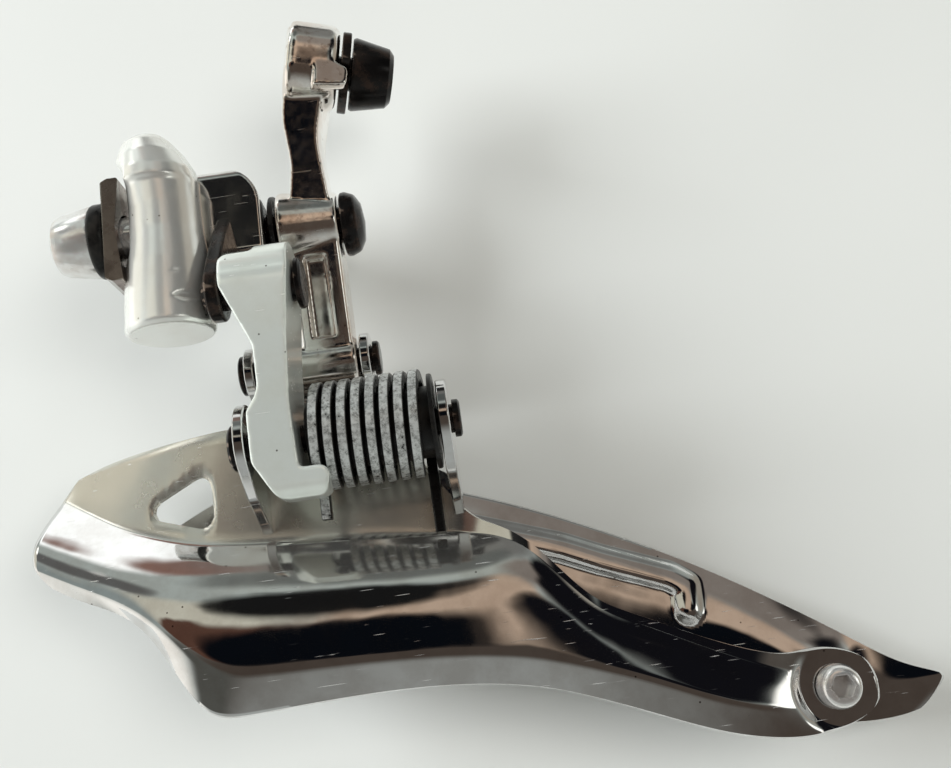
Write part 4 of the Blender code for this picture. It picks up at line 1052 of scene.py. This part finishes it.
def cage_outer_plate():
    """Outer cage plate: long wall with a pressed rib, raised tower with ears, bridge."""
    rails = [OUTER_TOP, OUTER_UPPER_MID, OUTER_LOWER_MID, OUTER_BOTTOM]
    plate = smooth_net("outer_plate_sheet", rails, 4)
    press_rib(plate, RIB, 0.65, 0.5, 1.9)
    punch(plate, hull([(*TAIL, 1.8)], 32))
    thicken(plate)
    settle(plate, "cage", "chromed_steel", "cage_outer_plate")
    y, z = OUTER_LOWER
    side = hull([(y, z, 3.3), (TOWER_Y - 0.2, -13.6, 0.8), (TOWER_Y - 0.2, -20.5, 0.8)], 48)
    ear("outer_ear_front", side, OUTER_EARS[0], OUTER_LOWER)
    ear("outer_ear_rear", side, OUTER_EARS[1], OUTER_LOWER)
    tower_path = [(TOWER_Y, -13.0), (TOWER_Y, -25.5), (20.0, -29.0), (20.0, -31.5)]
    bridge_path = [(TOWER_Y, DECK_Z), (FLANGE_Y + 1.2, DECK_Z), (FLANGE_Y, DECK_Z - 1.2),
                   (FLANGE_Y, -31.4)]
    for name, path, low, high in (("outer_tower", tower_path, OUTER_EARS[0][0], OUTER_EARS[1][1]),
                                  ("outer_bridge", bridge_path, 13.2, 22.8)):
        sheet = new_object(name, bent_sheet(path, low, high))
        settle(sheet, "cage", "chromed_steel", edge=(0.25, 3, 20))


def cage_pins():
    """The two riveted pins that carry the cage, and the black bush inside the spring."""
    inner = [(9.4, 0), (9.4, 2.3), (9.7, 2.6), (10.2, 2.6), (10.2, 1.6), (34.25, 1.6), (34.25, 2.1),
             (34.9, 2.1), (35.1, 1.8), (35.1, 0)]
    turned("inner_cage_pin_seen", inner, INNER_LOWER, "cage", "black_oxide", "inner_cage_pin", edge=0.08)
    outer = [(8.3, 0), (8.3, 2.2), (8.5, 2.5), (8.9, 2.5), (8.9, 1.6), (25.1, 1.6), (25.1, 2.15),
             (25.7, 2.15), (25.9, 1.9), (25.9, 0)]
    turned("outer_cage_pin_seen", outer, OUTER_LOWER, "cage", "black_oxide", "outer_cage_pin", edge=0.08)
    sleeve = [(18.3, 1.9), (18.3, 4.0), (31.9, 4.0), (31.9, 5.3), (32.3, 5.3), (32.45, 5.15),
              (32.45, 1.9)]
    bush = new_object("spring_bush_seen", lathe(sleeve, INNER_LOWER, "X", 96, hollow=True))
    settle(bush, "cage", "black_polymer", "spring_bush", edge=(0.08,))


def cage_fasteners():
    """Rivets through the bridge, and the spacer and screw that join the plates at the tail."""
    near = WALL_Y - SHEET / 2 - GAP
    far = FLANGE_Y + SHEET / 2 + GAP
    profile = [(near - 0.7, 0), (near - 0.7, 1.3), (near - 0.4, 1.7), (near, 1.7), (near, 1.0),
               (far, 1.0), (far, 1.7), (far + 0.4, 1.7), (far + 0.7, 1.3), (far + 0.7, 0)]
    for index, x in enumerate(RIVETS_X):
        node = f"bridge_rivet_{index + 1}"
        turned(f"{node}_seen", profile, (x, RIVET_Z), "cage", "bolt_steel", node, "Y", 64)
    face = TAIL_INNER_Y - SHEET / 2 - GAP
    back = TAIL_OUTER_Y + SHEET / 2 + GAP
    ring = [(TAIL_INNER_Y + 0.9, 1.8), (TAIL_INNER_Y + 0.9, 3.0), (TAIL_OUTER_Y - 1.0, 3.0),
            (TAIL_OUTER_Y - 1.0, 1.8)]
    spacer = new_object("tail_spacer_seen", lathe(ring, TAIL, "Y", 96, hollow=True))
    settle(spacer, "cage", "bolt_steel", "tail_spacer", edge=(0.15,))
    profile = [(face - 2.0, 0), (face - 2.0, 1.75), (face - 1.85, 2.0), (face - 1.5, 2.2),
               (face - 0.5, 2.45), (face, 2.45), (face, 1.5), (back + 0.9, 1.5), (back + 1.1, 1.3),
               (back + 1.1, 0)]
    screw = new_object("tail_screw_seen", lathe(profile, TAIL, "Y", 96))
    socket = hex_socket(TAIL, 1.35, 0, face - 0.7, "Y")
    combine(screw, [socket], "DIFFERENCE")
    settle(screw, "cage", "bolt_steel", "tail_screw", edge=(0.12,), tools=[socket])


def return_spring():
    """Coil of rectangular wire with rounded corners: a hook on the foot, a leg down the plate."""
    axis_y, axis_z = INNER_LOWER
    axial = Vector((1, 0, 0))
    coil = []
    count = round(SPRING_TURNS * STEPS_PER_TURN)
    for step in range(count + 1):
        share = step / STEPS_PER_TURN
        angle = math.radians(-90) - 2 * math.pi * share
        along = SPRING_START + WIRE_WIDTH / 2 + SPRING_PITCH * share
        coil.append(Vector((along, axis_y + SPRING_RADIUS * math.cos(angle),
                            axis_z + SPRING_RADIUS * math.sin(angle))))
    hook = [Vector((coil[0].x, y, z)) for y, z in ((-0.3, -36.8), (-0.3, -35.2), (-0.45, -33.9))]
    leg = [Vector((coil[-1].x, y, z)) for y, z in ((4.1, -30.5), (4.3, -34.0), (4.9, -39.2))]
    path = hook + coil + leg
    half_width, half_depth, corner = WIRE_WIDTH / 2, WIRE_DEPTH / 2, 0.16
    section = []
    for across, out in ((-1, -1), (1, -1), (1, 1), (-1, 1)):
        cut = [(across * (half_width - corner), out * half_depth),
               (across * half_width, out * (half_depth - corner))]
        section += cut if across * out < 0 else cut[::-1]
    bm = bmesh.new()
    rings = []
    for index, centre in enumerate(path):
        ahead = path[min(index + 1, len(path) - 1)] - path[max(index - 1, 0)]
        ahead.x = 0
        outward = axial.cross(ahead.normalized())
        rings.append([bm.verts.new(centre + axial * across + outward * out) for across, out in section])
    for ring, other in zip(rings, rings[1:]):
        bridge(bm, ring, other)
    bm.faces.new(rings[0])
    bm.faces.new(reversed(rings[-1]))
    spring = new_object("return_spring_seen", bm)
    layer = spring.data.attributes.new("outside", "FLOAT", "POINT")
    values = [1.0 if out > half_depth - corner / 2 else 0.0 for across, out in section]
    layer.data.foreach_set("value", values * len(path))
    spring.data.materials.append(finish_material("spring_steel"))
    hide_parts("return_spring")
    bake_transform(spring)


# ------------------------------------------------------------ floor, light and camera

def look_frame():
    """The camera's right, up and forward directions at the photograph's angle."""
    forward = Vector((0, math.cos(CAMERA_RISE), math.sin(CAMERA_RISE)))
    level_up = Vector((0, -math.sin(CAMERA_RISE), math.cos(CAMERA_RISE)))
    up = Vector((math.sin(CAMERA_ROLL), 0, 0)) + level_up * math.cos(CAMERA_ROLL)
    right = Vector((math.cos(CAMERA_ROLL), 0, 0)) - level_up * math.sin(CAMERA_ROLL)
    return right, up, forward


def camera():
    """Camera at the photograph's place and angle."""
    bpy.context.scene.view_settings.view_transform = "Standard"
    data = bpy.data.cameras.new("camera")
    data.sensor_width = 36.0
    data.lens = CAMERA_LENS
    data.clip_start = 0.005
    obj = bpy.data.objects.new("camera", data)
    bpy.context.collection.objects.link(obj)
    right, up, forward = look_frame()
    columns = (right, up, -forward, CAMERA_PLACE * MM)
    obj.matrix_world = Matrix((*zip(*columns), (0, 0, 0, 1)))
    bpy.context.scene.camera = obj


def softbox(name, direction, distance, size, power, colour=(1, 1, 1)):
    """A square area light that faces the object from a direction."""
    data = bpy.data.lights.new(name, "AREA")
    data.size = size * MM
    data.energy = power
    data.color = colour
    obj = bpy.data.objects.new(name, data)
    bpy.context.collection.objects.link(obj)
    obj.location = (MIDDLE + direction.normalized() * distance) * MM
    obj.rotation_mode = "QUATERNION"
    obj.rotation_quaternion = direction.to_track_quat("Z", "Y")
    obj.visible_glossy = False


def floor():
    """The pale table that the part lies on; seen from behind it is left out of the way."""
    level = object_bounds()[1].y / MM + 0.6
    half = 900
    bm = bmesh.new()
    corners = []
    for x, z in ((-1, -1), (1, -1), (1, 1), (-1, 1)):
        corners.append(bm.verts.new((MIDDLE.x + x * half, level, MIDDLE.z + z * half)))
    bm.faces.new(corners)
    obj = new_object("table", bm)
    if obj.data.polygons[0].normal.y > 0:
        obj.data.flip_normals()
    n = Nodes("table_paint", 0.0)
    n.shader.inputs["Roughness"].default_value = 0.55
    cloud = n.noise(9, 3.0)
    tone = n.mix(n.span(cloud, 0.3, 0.7), (0.80, 0.815, 0.80), (0.76, 0.775, 0.76))
    n.link(tone, "Base Color")
    n.link(n.bump(n.noise(700, 2.0), 0.12, 0.05), "Normal")
    clear = n.node("ShaderNodeBsdfTransparent").outputs[0]
    behind = n.node("ShaderNodeNewGeometry").outputs["Backfacing"]
    out = n.tree.nodes["Material Output"]
    merged = n.node("ShaderNodeMixShader", {0: behind, 1: n.shader.outputs[0], 2: clear}).outputs[0]
    n.tree.links.new(merged, out.inputs["Surface"])
    obj.data.materials.append(n.material)


class Room(Tree):
    """The world's node tree, made of soft shapes placed by direction."""

    def __init__(self, world):
        world.use_nodes = True
        super().__init__(world.node_tree)
        self.tree.nodes.clear()
        plain = self.node("ShaderNodeTexCoord").outputs["Generated"]
        noise = {"Vector": plain, "Scale": 4.0, "Detail": 3.0}
        clutter = self.node("ShaderNodeTexNoise", noise).outputs["Color"]
        sway = self.vector_math("SUBTRACT", clutter, (0.5, 0.5, 0.5))
        sway = self.vector_math("MULTIPLY", sway, (0.14, 0.14, 0.14))
        self.direction = self.vector_math("ADD", plain, sway)

    def vector_math(self, operation, *values):
        """One sum or product of vectors."""
        made = self.node("ShaderNodeVectorMath", enumerate(values), operation=operation)
        return made.outputs["Vector"]

    def lobe(self, azimuth, elevation, inner, outer, flatness=1.0):
        """1 within the inner angle of a direction, 0 beyond the outer one."""
        around, rise = math.radians(azimuth), math.radians(elevation)
        squash = Vector((1, 1, flatness))
        towards = Vector((math.sin(around), -math.cos(around), 0)) * math.cos(rise)
        towards.z = math.sin(rise)
        squashed = self.vector_math("MULTIPLY", self.direction, squash)
        inputs = {0: self.vector_math("NORMALIZE", squashed), 1: (towards * squash).normalized()}
        dot = self.node("ShaderNodeVectorMath", inputs, operation="DOT_PRODUCT").outputs["Value"]
        return self.span(dot, math.cos(math.radians(outer)), math.cos(math.radians(inner)))


def room():
    """A bright room with the dark shape of whoever leans over the table, seen only in reflections."""
    world = bpy.data.worlds.new("room")
    bpy.context.scene.world = world
    n = Room(world)
    tone = n.mix(n.lobe(0, -90, 40, 100), ROOM_TOP, ROOM_LOW)
    for *place, colour in ROOM_SHAPES:
        tone = n.mix(n.lobe(*place), tone, colour)
    seen = n.node("ShaderNodeBackground", {"Color": (*BACKDROP, 1.0), "Strength": 1.0}).outputs[0]
    mirrored = n.node("ShaderNodeBackground", {"Color": tone, "Strength": 1.0}).outputs[0]
    from_camera = n.node("ShaderNodeLightPath").outputs["Is Camera Ray"]
    merged = n.node("ShaderNodeMixShader", {0: from_camera, 1: mirrored, 2: seen}).outputs[0]
    n.node("ShaderNodeOutputWorld", {"Surface": merged})


def lights():
    """A large window at the left and a weak light above; mirrors don't show them."""
    right, up, forward = look_frame()
    softbox("window", -right * 0.87 + up * 0.24 - forward * 0.41, 950, 480, 9.8, (0.97, 1.0, 1.01))
    softbox("ceiling", up * 0.3 - forward * 0.9 + right * 0.4, 700, 350, 1.7, (1.0, 0.99, 0.95))


def main():
    """Build every piece, then the table, room, lights and camera."""
    mounting_body()
    mounting_hardware()
    pivot_hardware()
    for name, x in zip(("limit_screw_low", "limit_screw_high"), LIMIT_SCREWS_X):
        limit_screw(name, x)
    outer_link()
    cable_clamp()
    inner_link()
    cage_inner_plate()
    cage_outer_plate()
    cage_pins()
    cage_fasteners()
    return_spring()
    floor()
    room()
    lights()
    camera()


main()
